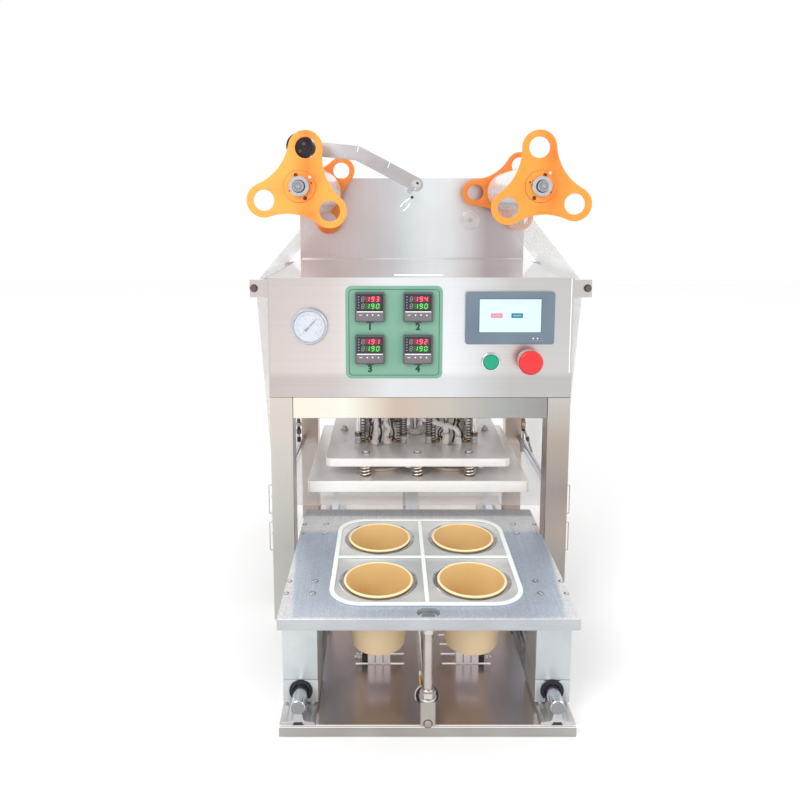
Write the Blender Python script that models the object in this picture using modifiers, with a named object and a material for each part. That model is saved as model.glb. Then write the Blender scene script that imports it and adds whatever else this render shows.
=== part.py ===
"""Pneumatic four-cup tray sealing machine.

A square-tube frame carries a sheet-steel control housing, a sliding cup tray on two
supported rails, a press head on a guided cylinder, and a film web that runs between
two spools. Units are metres. +Z is up, +X is the operator's right and +Y runs from the
operator to the back. The origin is on the floor, midway between the sides, under the
face of the control panel.
"""
import math

import bmesh
import bpy
from mathutils import Matrix, Vector

MM = 0.001
GAP = 0.3 * MM                      # clearance between faces that touch
MERGE = 0.00001                     # vertex merge distance

# Frame and housing
HALF_WIDTH = 250 * MM
DEPTH = 453 * MM
POST = 38 * MM
TUBE_WALL = 1.5 * MM
SHEET = 2 * MM
HOUSING_BOTTOM = 394 * MM
HOUSING_TOP = 593.7 * MM
BACK_BOTTOM = 345 * MM
BACK_TOP = 771.8 * MM
BACK_FLANGE = 27 * MM
POST_INSIDE = HALF_WIDTH - POST

# Base plate and rails
BASE_HALF_WIDTH = 200 * MM
BASE_FRONT = -281 * MM
BASE_REAR = 505 * MM
BASE_TOP = 16.2 * MM
BASE_SHEET = 3 * MM
STIFFENER_HALF = 25 * MM
BASE_STEP_FRONT = -12 * MM          # where the pan starts to widen to the posts
REACH = 5 * MM                      # how far a shape passes the face that it cuts or joins
SLOT_LENGTH = 74 * MM
SLOT_WIDTH = 3.4 * MM
SLOT_ROWS = [-146 * MM, -121.5 * MM, -96 * MM, -71 * MM]
RAIL_X = 174 * MM
RAIL_Z = 41.9 * MM
RAIL_RADIUS = 10 * MM
RAIL_REAR = 445 * MM

# Sliding tray, drawn out
CUP_PITCH = 134 * MM
TRAY_GRID_Y = -124.7 * MM
TRAY_HALF_WIDTH = 198.5 * MM
TRAY_FRONT = -290.5 * MM
TRAY_REAR = 56 * MM
TRAY_TOP = 175.4 * MM
TRAY_BOTTOM = 159 * MM
CUP_HOLE = 48.4 * MM
CUP_RIM = 49.75 * MM
CUP_BASE = 38 * MM
CUP_BOTTOM = 84 * MM
CUP_TOP = 178.7 * MM
CUP_WALL = 1 * MM
GASKET_HALF = 135.5 * MM
GASKET_WIDTH = 7 * MM
GASKET_CROSS = 3 * MM               # half width of the dividers
GASKET_CORNER = 45 * MM
LEG_X = 174.5 * MM
LEG_HALF_WIDTH = 24.2 * MM
LEG_LENGTH = 70 * MM
LEG_CENTRES = [-210 * MM, -22 * MM]
LEG_BOTTOM = 24.5 * MM
DRIVE_Y = -275 * MM
ROD_Z = 38 * MM

# Press head, raised
HEAD_Y = 225 * MM
LOWER_PLATE = (196 * MM, 168 * MM)  # half width, half depth
LOWER_PLATE_Z = (206.5 * MM, 227 * MM)
UPPER_PLATE = (165 * MM, 153 * MM)
UPPER_PLATE_Z = (248 * MM, 263 * MM)
HEAD_RADIUS = 53 * MM
STUD_OFFSET = 43 * MM
STUD_RADIUS = 4 * MM
STUD_TOP = 332 * MM
GUIDE_X = 100 * MM
BRIDGE_BOTTOM = 382 * MM

# Film spools and film path, as (x, z)
SPOOL = (200 * MM, 741 * MM)
SPOOL_SHAFT = 11.7 * MM
DISC_THICKNESS = 5 * MM
DISC_FRONT_Y = 45 * MM
DISC_REAR_Y = 415 * MM
LOBE_DISTANCE = 65.5 * MM
LOBE_RADIUS = 27 * MM
LOBE_HOLE = 19 * MM
WEB_WAIST = 45 * MM                 # smallest radius between two lobes
SUPPLY_RADIUS = 45 * MM
TAKEUP_RADIUS = 40 * MM
CORE_RADIUS = 20 * MM
ROLLER_RADIUS = 6.5 * MM
CORNER_ROLLER = (272 * MM, 576 * MM)
LOWER_ROLLER = (246 * MM, 189 * MM)
FILM_Y = (58 * MM, 400 * MM)
FILM_THICKNESS = 0.4 * MM
FILM_OFFSET = 0.6 * MM              # film centre above a roller's surface
DISC_ANGLES = {-1: (80.7, 45.0), 1: (93.3, 61.4)}   # first lobe of the front and rear discs

# Contact arm on the supply roll
ARM_PIVOT = (-5 * MM, 746 * MM)
ARM_BENDS = [(-54 * MM, 772 * MM), (-106 * MM, 799 * MM)]
ARM_WHEEL = (-202 * MM, 808.4 * MM)
ARM_Y = 95 * MM
ARM_HALF_HEIGHT = 12 * MM
WHEEL_RADIUS = 22 * MM

# Panel
GAUGE = (-181.7 * MM, 513.9 * MM)
NEEDLE_ANGLE = math.radians(47)
GREEN_PLATE = (-123 * MM, 36 * MM, 426.6 * MM, 580 * MM)
CONTROLLER_X = [-83 * MM, -4.5 * MM]
CONTROLLER_Z = [546 * MM, 476 * MM]
CONTROLLER_SIDE = 48 * MM
SCREEN = (145.5 * MM, 527.5 * MM)
SCREEN_SIZE = (145 * MM, 86 * MM)
START = (115.8 * MM, 454.4 * MM)
ESTOP = (177 * MM, 458 * MM)


# ---------------------------------------------------------------- scene helpers

def clear_scene():
    for obj in list(bpy.data.objects):
        bpy.data.objects.remove(obj)


def new_collection(name):
    group = bpy.data.collections.new(name)
    bpy.context.scene.collection.children.link(group)
    return group


def material(name, colour, roughness, metallic=0.0):
    made = bpy.data.materials.new(name)
    made.use_nodes = True
    shader = made.node_tree.nodes["Principled BSDF"]
    shader.inputs["Base Color"].default_value = (*colour, 1.0)
    shader.inputs["Roughness"].default_value = roughness
    shader.inputs["Metallic"].default_value = metallic
    return made


clear_scene()
PARTS = new_collection("cup_sealing_machine")
CUTTERS = new_collection("cutters")
STEEL = material("stainless_steel", (0.62, 0.60, 0.59), 0.28, 1.0)
ALUMINIUM = material("aluminium", (0.72, 0.73, 0.75), 0.40, 1.0)
CHROME = material("chromed_rod", (0.78, 0.78, 0.80), 0.12, 1.0)
BRASS = material("heater_brass", (0.60, 0.48, 0.25), 0.40, 1.0)
ORANGE = material("orange_plastic", (0.95, 0.42, 0.06), 0.45)
GREEN = material("green_panel", (0.28, 0.55, 0.40), 0.50)
DARK = material("dark_plastic", (0.06, 0.06, 0.07), 0.45)
BLUE_GREY = material("screen_bezel", (0.24, 0.31, 0.38), 0.40)
RED = material("red_plastic", (0.80, 0.05, 0.05), 0.35)
START_GREEN = material("green_plastic", (0.02, 0.42, 0.27), 0.35)
WHITE = material("white_silicone", (0.88, 0.88, 0.86), 0.60)
PAPER = material("cup_paper", (0.80, 0.60, 0.36), 0.75)
FILM = material("sealing_film", (0.85, 0.86, 0.87), 0.25)
RUBBER = material("black_rubber", (0.02, 0.02, 0.02), 0.70)


def place(name, mesh, location=(0, 0, 0), rotation=(0, 0, 0)):
    obj = bpy.data.objects.new(name, mesh)
    obj.location = location
    obj.rotation_euler = rotation
    PARTS.objects.link(obj)
    return obj


def finish(obj, look, body=None):
    """Gives a part its material and hangs it on the empty of the body it moves with."""
    obj.data.materials.append(look)
    if body is not None:
        obj.parent = body
        obj.location -= body.location
    return obj


def body_axis(name, x, y, z):
    """Empty on a joint's axis, the parent of everything that the joint moves."""
    empty = bpy.data.objects.new(name, None)
    empty.location = (x, y, z)
    PARTS.objects.link(empty)
    return empty


# ---------------------------------------------------------------- shape helpers

def to_mesh(bm, name):
    mesh = bpy.data.meshes.new(name)
    bm.to_mesh(mesh)
    bm.free()
    return mesh


def block(name, low, high):
    """Box between two opposite corners."""
    low, high = Vector(low), Vector(high)
    bm = bmesh.new()
    bmesh.ops.create_cube(bm, size=1.0, matrix=Matrix.Diagonal((*(high - low), 1.0)))
    return place(name, to_mesh(bm, name), (low + high) / 2)


def round_bar(name, radius, start, end, sides=16):
    """Closed cylinder from one point to another."""
    start, end = Vector(start), Vector(end)
    bm = bmesh.new()
    bmesh.ops.create_cone(bm, cap_ends=True, segments=sides, radius1=radius, radius2=radius,
                          depth=(end - start).length)
    mesh = to_mesh(bm, name)
    mesh.shade_smooth()
    mesh.set_sharp_from_angle(angle=math.radians(35))
    turn = (end - start).to_track_quat("Z", "Y").to_euler()
    return place(name, mesh, (start + end) / 2, turn)


def turned(name, profile, centre, along_y=True, ring=False, sides=28):
    """Turned solid from (radius, height) points that run down the outer side.

    The axis is Z, or Y where along_y is set. A ring's profile is a closed loop.
    """
    bm = bmesh.new()
    points = [bm.verts.new((radius, 0, height)) for radius, height in profile]
    for first, second in zip(points, points[1:]):
        bm.edges.new((first, second))
    if ring:
        bm.edges.new((points[-1], points[0]))
    rotation = (math.radians(-90), 0, 0) if along_y else (0, 0, 0)
    obj = place(name, to_mesh(bm, name), centre, rotation)
    screw = obj.modifiers.new("Turn", "SCREW")
    screw.axis = "Z"
    screw.angle = math.tau
    screw.steps = sides
    screw.render_steps = sides
    screw.use_merge_vertices = True
    screw.merge_threshold = MERGE
    screw.use_smooth_shade = False
    return obj


def in_mm(points):
    return [(first * MM, second * MM) for first, second in points]


def arc(centre, radius, start, end, steps):
    """Points on an arc, with angles in degrees."""
    points = []
    for i in range(steps + 1):
        angle = math.radians(start + (end - start) * i / steps)
        points.append((centre[0] + radius * math.cos(angle), centre[1] + radius * math.sin(angle)))
    return points


def rounded_rectangle(low, high, radius, steps=4):
    """Outline of a rectangle with round corners, counter-clockwise."""
    points = arc((high[0] - radius, high[1] - radius), radius, 0, 90, steps)
    points += arc((low[0] + radius, high[1] - radius), radius, 90, 180, steps)
    points += arc((low[0] + radius, low[1] + radius), radius, 180, 270, steps)
    points += arc((high[0] - radius, low[1] + radius), radius, 270, 360, steps)
    return points


def circle(centre, radius, sides):
    return arc(centre, radius, 0, 360, sides)[:-1]


def profile_plate(name, outlines, thickness, centre, upright=False):
    """Flat plate from a closed outline and its holes, made a mesh so that it can be cut.

    It lies in XY, or stands in XZ where upright is set.
    """
    curve = bpy.data.curves.new(name, "CURVE")
    curve.dimensions = "2D"
    curve.fill_mode = "BOTH"
    curve.extrude = thickness / 2
    for outline in outlines:
        spline = curve.splines.new("POLY")
        spline.points.add(len(outline) - 1)
        for point, (x, y) in zip(spline.points, outline):
            point.co = (x, y, 0, 1)
        spline.use_cyclic_u = True
    rotation = (math.radians(90), 0, 0) if upright else (0, 0, 0)
    guide = place(name + "_outline", curve, centre, rotation)
    bpy.context.view_layer.update()
    evaluated = guide.evaluated_get(bpy.context.evaluated_depsgraph_get())
    mesh = bpy.data.meshes.new_from_object(evaluated)
    bm = bmesh.new()
    bm.from_mesh(mesh)
    bmesh.ops.remove_doubles(bm, verts=bm.verts, dist=MERGE)
    bm.to_mesh(mesh)
    bm.free()
    obj = place(name, mesh)
    obj.matrix_world = guide.matrix_world
    bpy.data.objects.remove(guide)
    return obj


def open_box(name, low, high, open_faces, thickness):
    """Sheet box without the faces whose outward directions are given."""
    low, high = Vector(low), Vector(high)
    bm = bmesh.new()
    bmesh.ops.create_cube(bm, size=1.0, matrix=Matrix.Diagonal((*(high - low), 1.0)))
    bm.normal_update()
    gone = [f for f in bm.faces if any(f.normal.dot(Vector(d)) > 0.9 for d in open_faces)]
    bmesh.ops.delete(bm, geom=gone, context="FACES")
    obj = place(name, to_mesh(bm, name), (low + high) / 2)
    walls = obj.modifiers.new("Sheet", "SOLIDIFY")
    walls.thickness = thickness
    walls.offset = -1
    walls.use_even_offset = True
    return obj


def combine(target, operation, tools):
    """Boolean modifiers on target; the tools move to the hidden collection."""
    for tool in tools:
        PARTS.objects.unlink(tool)
        CUTTERS.objects.link(tool)
        tool.hide_render = True
        tool.display_type = "WIRE"
        boolean = target.modifiers.new(operation.title(), "BOOLEAN")
        boolean.operation = operation
        boolean.solver = "EXACT"
        boolean.object = tool
    return target


def cut(target, *tools):
    return combine(target, "DIFFERENCE", tools)


def fuse(target, *tools):
    return combine(target, "UNION", tools)


def side_name(side):
    return "left" if side < 0 else "right"


# ---------------------------------------------------------------- frame

def base_plate():
    """Folded sheet pan, open below, with a centre stiffener that stands on the floor."""
    wide = POST_INSIDE - GAP
    outline = [
        (-BASE_HALF_WIDTH, BASE_FRONT), (BASE_HALF_WIDTH, BASE_FRONT),
        (BASE_HALF_WIDTH, BASE_STEP_FRONT), (wide, -GAP), (wide, BASE_REAR),
        (-wide, BASE_REAR), (-wide, -GAP), (-BASE_HALF_WIDTH, BASE_STEP_FRONT),
    ]
    plate = profile_plate("base_plate", [outline], BASE_TOP, (0, 0, BASE_TOP / 2))
    under = BASE_TOP - BASE_SHEET
    pockets = []
    for side in (-1, 1):
        xs = sorted((side * STIFFENER_HALF, side * (BASE_HALF_WIDTH - BASE_SHEET)))
        pockets.append(block("base_pocket", (xs[0], BASE_FRONT + BASE_SHEET, -5 * MM),
                             (xs[1], BASE_REAR - BASE_SHEET, under)))
        xs = sorted((side * RAIL_X, side * (wide - BASE_SHEET)))
        pockets.append(block("side_pocket", (xs[0], BASE_SHEET, -4 * MM),
                             (xs[1], BASE_REAR - 2 * BASE_SHEET, under - 1 * MM)))
        for y in SLOT_ROWS:
            x = side * 66 * MM
            pockets.append(block(
                "base_slot", (x - SLOT_LENGTH / 2, y - SLOT_WIDTH / 2, under - REACH),
                (x + SLOT_LENGTH / 2, y + SLOT_WIDTH / 2, BASE_TOP + REACH)))
    return finish(cut(plate, *pockets), STEEL)


def rail(side):
    """Round shaft on its extruded support, as one profile along Y."""
    foot = BASE_TOP + GAP
    half = [(4, 0), (22.5, 0), (22.5, 5), (7.5, 6.5), (5.2, 16)]
    right = [(x * MM, foot + z * MM) for x, z in half]
    left = [(-x, z) for x, z in reversed(right)]
    start = -math.degrees(math.acos(right[-1][0] / RAIL_RADIUS))
    crown = arc((0, RAIL_Z), RAIL_RADIUS, start, 180 - start, 18)
    notch = [(-3 * MM, foot + 3 * MM), (3 * MM, foot + 3 * MM)]
    bar = profile_plate("rail_" + side_name(side), [right + crown + left + notch],
                        RAIL_REAR - BASE_FRONT,
                        (side * RAIL_X, (RAIL_REAR + BASE_FRONT) / 2, 0), upright=True)
    return finish(bar, ALUMINIUM)


def square_tube(name, low, high, axis):
    """Tube with open ends along the given axis number."""
    inner_low = [v + TUBE_WALL for v in low]
    inner_high = [v - TUBE_WALL for v in high]
    inner_low[axis] = low[axis] - TUBE_WALL
    inner_high[axis] = high[axis] + TUBE_WALL
    return cut(block(name, low, high), block(name + "_bore", inner_low, inner_high))


def posts():
    for side in (-1, 1):
        for row, y in (("front", 0.0), ("rear", DEPTH - POST)):
            xs = sorted((side * POST_INSIDE, side * HALF_WIDTH))
            tube = square_tube("post_" + row + "_" + side_name(side),
                               (xs[0], y, 0), (xs[1], y + POST, HOUSING_BOTTOM - GAP), 2)
            finish(tube, STEEL)


def front_beam():
    half = POST_INSIDE - GAP
    tube = square_tube("front_beam", (-half, 0.5 * MM, 358 * MM),
                       (half, 36.5 * MM, HOUSING_BOTTOM - GAP), 0)
    return finish(tube, STEEL)


def bridge_plate():
    """Plate between the posts that carries the press cylinder and guides its rods."""
    half = POST_INSIDE - GAP
    top = HOUSING_BOTTOM - GAP
    plate = block("bridge_plate", (-half, 37 * MM, BRIDGE_BOTTOM), (half, DEPTH, top))
    holes = [round_bar("rod_hole", 11 * MM, (0, HEAD_Y, BRIDGE_BOTTOM - REACH),
                       (0, HEAD_Y, top + REACH))]
    for side in (-1, 1):
        x = side * GUIDE_X
        holes.append(round_bar("guide_hole", 8.4 * MM, (x, HEAD_Y, BRIDGE_BOTTOM - REACH),
                               (x, HEAD_Y, top + REACH)))
        x = side * CUP_PITCH / 2
        for y in (HEAD_Y - 60 * MM, HEAD_Y + 60 * MM):
            holes.append(block("lead_window", (x - 20 * MM, y - 22 * MM, BRIDGE_BOTTOM - REACH),
                               (x + 20 * MM, y + 22 * MM, top + REACH)))
    return finish(cut(plate, *holes), ALUMINIUM)


def housing_shell():
    """Sheet cover, open below and behind, with panel cut-outs and the roller ears."""
    shell = open_box("housing_shell", (-HALF_WIDTH, 0, HOUSING_BOTTOM),
                     (HALF_WIDTH, DEPTH, HOUSING_TOP), [(0, 0, -1), (0, 1, 0)], SHEET)
    front, back = -5 * MM, 5 * MM
    window_x = (GREEN_PLATE[0] + 6 * MM, GREEN_PLATE[1] - 6 * MM)
    window_z = (GREEN_PLATE[2] + 6 * MM, GREEN_PLATE[3] - 6 * MM)
    openings = [
        round_bar("gauge_hole", 26.6 * MM, (GAUGE[0], front, GAUGE[1]), (GAUGE[0], back, GAUGE[1]), 24),
        block("controller_window", (window_x[0], front, window_z[0]), (window_x[1], back, window_z[1])),
        block("screen_window", (SCREEN[0] - 67.5 * MM, front, SCREEN[1] - 38 * MM),
              (SCREEN[0] + 67.5 * MM, back, SCREEN[1] + 38 * MM)),
        round_bar("estop_hole", 11.5 * MM, (ESTOP[0], front, ESTOP[1]), (ESTOP[0], back, ESTOP[1])),
    ]
    bezel = round_bar("start_bezel", 15 * MM, (START[0], -4 * MM, START[1]),
                      (START[0], 1 * MM, START[1]), 24)
    start_hole = round_bar("start_hole", 12.4 * MM, (START[0], -9 * MM, START[1]),
                           (START[0], 9 * MM, START[1]), 24)
    ears = []
    pins = []
    for side in (-1, 1):
        for y in (2 * MM, 408 * MM):
            xs = sorted((side * (HALF_WIDTH - 1 * MM), side * 279 * MM))
            ears.append(block("roller_ear", (xs[0], y, 561 * MM), (xs[1], y + 4 * MM, 590 * MM)))
            x, z = side * CORNER_ROLLER[0], CORNER_ROLLER[1]
            pins.append(round_bar("ear_hole", 4.4 * MM, (x, y - REACH, z), (x, y + 9 * MM, z), 16))
    cut(shell, *openings)
    fuse(shell, bezel, *ears)
    return finish(cut(shell, start_hole, *pins), STEEL)


def back_panel():
    """Folded rear sheet with spool bearings and the contact arm's pivot shaft."""
    front = DEPTH + GAP
    panel = open_box("back_panel", (-HALF_WIDTH, front, BACK_BOTTOM),
                     (HALF_WIDTH, front + BACK_FLANGE, BACK_TOP), [(0, 1, 0)], SHEET)
    flanges = []
    holes = []
    for side in (-1, 1):
        x, z = side * SPOOL[0], SPOOL[1]
        flanges.append(round_bar("bearing_flange", 24 * MM, (x, 445 * MM, z), (x, front + 1 * MM, z), 24))
        holes.append(round_bar("bearing_hole", 8.4 * MM, (x, 440 * MM, z), (x, front + 9 * MM, z)))
    x, z = ARM_PIVOT
    shaft = round_bar("arm_shaft", 7 * MM, (x, ARM_Y + 3 * MM, z), (x, front + 1 * MM, z))
    stub = round_bar("arm_stub", 5 * MM, (x, ARM_Y - 8 * MM, z), (x, ARM_Y + 9 * MM, z))
    fuse(panel, *flanges, shaft, stub)
    return finish(cut(panel, *holes), STEEL)


# ---------------------------------------------------------------- control panel

def gauge(needle_body):
    x, z = GAUGE
    profile = in_mm([(0, 30), (26, 30), (26, -0.3), (30, -0.3), (30, -8), (29, -9), (26, -9),
                     (25, -5.5), (0, -5.5)])
    finish(turned("gauge_case", profile, (x, 0, z), sides=20), STEEL)
    hand = in_mm([(-8, -1.6), (0, -2.6), (19, -0.4), (19, 0.4), (0, 2.6), (-8, 1.6)])
    along, across = math.cos(NEEDLE_ANGLE), math.sin(NEEDLE_ANGLE)
    outline = [(u * along - v * across, u * across + v * along) for u, v in hand]
    needle = profile_plate("gauge_needle", [outline], 0.8 * MM, (x, -7 * MM, z), upright=True)
    finish(needle, DARK, needle_body)


def control_plate():
    x0, x1, z0, z1 = GREEN_PLATE
    outlines = [rounded_rectangle((x0, z0), (x1, z1), 10 * MM)]
    half = (CONTROLLER_SIDE - 2.4 * MM) / 2
    for x in CONTROLLER_X:
        for z in CONTROLLER_Z:
            outlines.append([(x - half, z - half), (x + half, z - half),
                             (x + half, z + half), (x - half, z + half)])
    plate = profile_plate("control_plate", outlines, 1.5 * MM, (0, -1.05 * MM, 0), upright=True)
    finish(plate, GREEN)


def temperature_controllers():
    number = 0
    for z in CONTROLLER_Z:
        for x in CONTROLLER_X:
            number += 1
            half = CONTROLLER_SIDE / 2
            case = half - 1.5 * MM
            bezel = block("temp_controller_" + str(number), (x - half, -9 * MM, z - half),
                          (x + half, -2.1 * MM, z + half))
            body = block("controller_case", (x - case, -3 * MM, z - case), (x + case, 60 * MM, z + case))
            finish(fuse(bezel, body), DARK)


def touch_screen():
    x, z = SCREEN
    half_x, half_z = SCREEN_SIZE[0] / 2, SCREEN_SIZE[1] / 2
    outline = rounded_rectangle((x - half_x, z - half_z), (x + half_x, z + half_z), 4 * MM)
    bezel = profile_plate("touch_screen", [outline], 6.7 * MM, (0, -3.65 * MM, 0), upright=True)
    body = block("screen_case", (x - 66.5 * MM, -1 * MM, z - 37 * MM), (x + 66.5 * MM, 35 * MM, z + 37 * MM))
    finish(fuse(bezel, body), BLUE_GREY)


def push_buttons(start_body, estop_body):
    profile = in_mm([(0, 14), (7, 14), (7, 0), (12, 0), (12, -5.5), (11, -6.5), (0, -7)])
    cap = turned("start_button", profile, (START[0], 0, START[1]), sides=24)
    finish(cap, START_GREEN, start_body)
    profile = in_mm([(0, 20), (11, 20), (11, -16), (17, -16), (19.6, -19), (20, -26), (18.5, -29),
                     (0, -30.5)])
    head = turned("estop_button", profile, (ESTOP[0], 0, ESTOP[1]), sides=24)
    finish(head, RED, estop_body)


# ---------------------------------------------------------------- tray drive and tray

def tray_cylinder():
    """Barrel with two square end caps and a blind bore for the rod."""
    front, rear = 90 * MM, 500 * MM
    barrel = round_bar("tray_cylinder", 16 * MM, (0, front + 1 * MM, ROD_Z), (0, rear - 1 * MM, ROD_Z), 24)
    foot = BASE_TOP + GAP
    caps = [block("cylinder_cap", (-18 * MM, y, foot), (18 * MM, y + 22 * MM, 56 * MM))
            for y in (front, rear - 22 * MM)]
    bore = round_bar("cylinder_bore", 6.4 * MM, (0, front - REACH, ROD_Z), (0, 485 * MM, ROD_Z))
    fuse(barrel, *caps)
    finish(cut(barrel, bore), ALUMINIUM)


def ejector(side, lifter_body):
    """Short lifting cylinder on the base and the lifter bar that rises under two cups."""
    x, y = side * CUP_PITCH / 2, TRAY_GRID_Y
    cylinder = block("ejector_" + side_name(side), (x - 17 * MM, y - 25 * MM, BASE_TOP + GAP),
                     (x + 17 * MM, y + 25 * MM, 46 * MM))
    bore = round_bar("ejector_bore", 8.4 * MM, (x, y, 20 * MM), (x, y, 50 * MM))
    finish(cut(cylinder, bore), ALUMINIUM)
    bar = block("lifter_" + side_name(side), (x - 17 * MM, y - 47 * MM, 56 * MM),
                (x + 17 * MM, y + 47 * MM, 62 * MM))
    piston = round_bar("lifter_rod", 8 * MM, (x, y, 22 * MM), (x, y, 58 * MM))
    finish(fuse(bar, piston), ALUMINIUM, lifter_body)


def cup_centres():
    """(number, x, y) of the four cup places, front row first."""
    number = 0
    for row in (-1, 1):
        for side in (-1, 1):
            number += 1
            yield number, side * CUP_PITCH / 2, TRAY_GRID_Y + row * CUP_PITCH / 2


def tray_plate(body):
    outlines = [rounded_rectangle((-TRAY_HALF_WIDTH, TRAY_FRONT), (TRAY_HALF_WIDTH, TRAY_REAR), 2 * MM, 2)]
    outlines += [circle((x, y), CUP_HOLE, 24) for _, x, y in cup_centres()]
    plate = profile_plate("tray_plate", outlines, TRAY_TOP - TRAY_BOTTOM,
                          (0, 0, (TRAY_TOP + TRAY_BOTTOM) / 2))
    pocket = profile_plate("drive_pocket", [
        rounded_rectangle((-15.5 * MM, DRIVE_Y - 10.5 * MM), (15.5 * MM, DRIVE_Y + 10.5 * MM), 10 * MM),
    ], 16 * MM, (0, 0, TRAY_TOP))
    finish(cut(plate, pocket), ALUMINIUM, body)


def gasket(body):
    """Silicone ring with a cross of dividers, lying on the tray."""
    inner = GASKET_HALF - GASKET_WIDTH
    outlines = [rounded_rectangle((-GASKET_HALF, TRAY_GRID_Y - GASKET_HALF),
                                  (GASKET_HALF, TRAY_GRID_Y + GASKET_HALF), GASKET_CORNER, 6)]
    radius = GASKET_CORNER - GASKET_WIDTH
    for sx in (-1, 1):
        for sy in (-1, 1):
            corner = arc((inner - radius, inner - radius), radius, 0, 90, 6)
            pane = corner + [(GASKET_CROSS, inner), (GASKET_CROSS, GASKET_CROSS), (inner, GASKET_CROSS)]
            outlines.append([(sx * x, TRAY_GRID_Y + sy * y) for x, y in pane])
    ring = profile_plate("tray_gasket", outlines, 2.5 * MM, (0, 0, TRAY_TOP + GAP + 1.25 * MM))
    finish(ring, WHITE, body)


def cups(body):
    """Tapered paper cups with a rolled rim that rests on the tray."""
    rim = TRAY_TOP + GAP
    neck = CUP_RIM - 2.4 * MM
    floor = CUP_BOTTOM + 3 * MM
    for number, x, y in cup_centres():
        cup = turned("cup_" + str(number), [
            (0, floor), (CUP_BASE - CUP_WALL, floor), (neck - CUP_WALL, CUP_TOP - 0.6 * MM),
            (CUP_RIM - 1.4 * MM, CUP_TOP), (CUP_RIM, CUP_TOP - 1.4 * MM), (CUP_RIM - 0.4 * MM, rim),
            (neck, rim), (CUP_BASE, CUP_BOTTOM), (0, CUP_BOTTOM),
        ], (x, y, 0), along_y=False, sides=24)
        finish(cup, PAPER, body)


def slide_legs(body):
    """Bearing blocks that carry the tray and run on the supported shafts."""
    for side in (-1, 1):
        for row, y in zip(("front", "rear"), LEG_CENTRES):
            x = side * LEG_X
            y0, y1 = y - LEG_LENGTH / 2, y + LEG_LENGTH / 2
            leg = block("slide_leg_" + row + "_" + side_name(side),
                        (x - LEG_HALF_WIDTH, y0, LEG_BOTTOM),
                        (x + LEG_HALF_WIDTH, y1, TRAY_BOTTOM - GAP))
            x = side * RAIL_X
            bore = round_bar("bearing_bore", RAIL_RADIUS + 0.4 * MM, (x, y0 - REACH, RAIL_Z),
                             (x, y1 + REACH, RAIL_Z))
            slot = block("bearing_slot", (x - 8.8 * MM, y0 - REACH, LEG_BOTTOM - REACH),
                         (x + 8.8 * MM, y1 + REACH, RAIL_Z))
            finish(cut(leg, bore, slot), ALUMINIUM, body)


def drive_post(body):
    """Post under the tray's front edge, its foot block and the cylinder rod."""
    foot = block("drive_post", (-10 * MM, DRIVE_Y - 10 * MM, 18 * MM),
                 (10 * MM, DRIVE_Y + 12 * MM, 53.6 * MM))
    post = round_bar("post_bar", 5.8 * MM, (0, DRIVE_Y, 40 * MM), (0, DRIVE_Y, TRAY_BOTTOM - GAP), 16)
    lower_nut = round_bar("lower_nut", 12 * MM, (0, DRIVE_Y, 52 * MM), (0, DRIVE_Y, 65 * MM), 6)
    upper_nut = round_bar("upper_nut", 11 * MM, (0, DRIVE_Y, 149 * MM),
                          (0, DRIVE_Y, TRAY_BOTTOM - GAP), 6)
    rod = round_bar("tray_rod", 6 * MM, (0, DRIVE_Y + REACH, ROD_Z), (0, 130 * MM, ROD_Z), 16)
    finish(fuse(foot, post, lower_nut, upper_nut, rod), STEEL, body)


# ---------------------------------------------------------------- press head

def head_centres():
    number = 0
    for row in (-1, 1):
        for side in (-1, 1):
            number += 1
            yield number, side * CUP_PITCH / 2, HEAD_Y + row * CUP_PITCH / 2


def press_cylinder():
    bottom = HOUSING_BOTTOM + GAP
    barrel = block("press_cylinder", (-38 * MM, HEAD_Y - 38 * MM, bottom),
                   (38 * MM, HEAD_Y + 38 * MM, 570 * MM))
    bore = round_bar("press_bore", 10.4 * MM, (0, HEAD_Y, bottom - REACH), (0, HEAD_Y, 545 * MM))
    finish(cut(barrel, bore), ALUMINIUM)


def head_upper_plate(body):
    """Carrier plate with the piston rod and the two guide rods fixed to it."""
    half_x, half_y = UPPER_PLATE
    bottom, top = UPPER_PLATE_Z
    outlines = [rounded_rectangle((-half_x, HEAD_Y - half_y), (half_x, HEAD_Y + half_y), 12 * MM)]
    for _, x, y in head_centres():
        outlines.append(circle((x, y), 14 * MM, 12))
        outlines += [circle((x + s * STUD_OFFSET, y), STUD_RADIUS + 0.8 * MM, 8) for s in (-1, 1)]
    plate = profile_plate("head_upper_plate", outlines, top - bottom, (0, 0, (top + bottom) / 2))
    rods = [round_bar("press_rod", 10 * MM, (0, HEAD_Y, bottom + REACH), (0, HEAD_Y, 520 * MM))]
    rods += [round_bar("guide_rod", 8 * MM, (s * GUIDE_X, HEAD_Y, bottom + REACH),
                       (s * GUIDE_X, HEAD_Y, 430 * MM)) for s in (-1, 1)]
    finish(fuse(plate, *rods), ALUMINIUM, body)


def head_lower_plate(body):
    half_x, half_y = LOWER_PLATE
    bottom, top = LOWER_PLATE_Z
    outlines = [rounded_rectangle((-half_x, HEAD_Y - half_y), (half_x, HEAD_Y + half_y), 5 * MM, 3)]
    outlines += [circle((x, y), HEAD_RADIUS + 1.5 * MM, 24) for _, x, y in head_centres()]
    plate = profile_plate("head_lower_plate", outlines, top - bottom, (0, 0, (top + bottom) / 2))
    finish(plate, ALUMINIUM, body)


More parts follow.
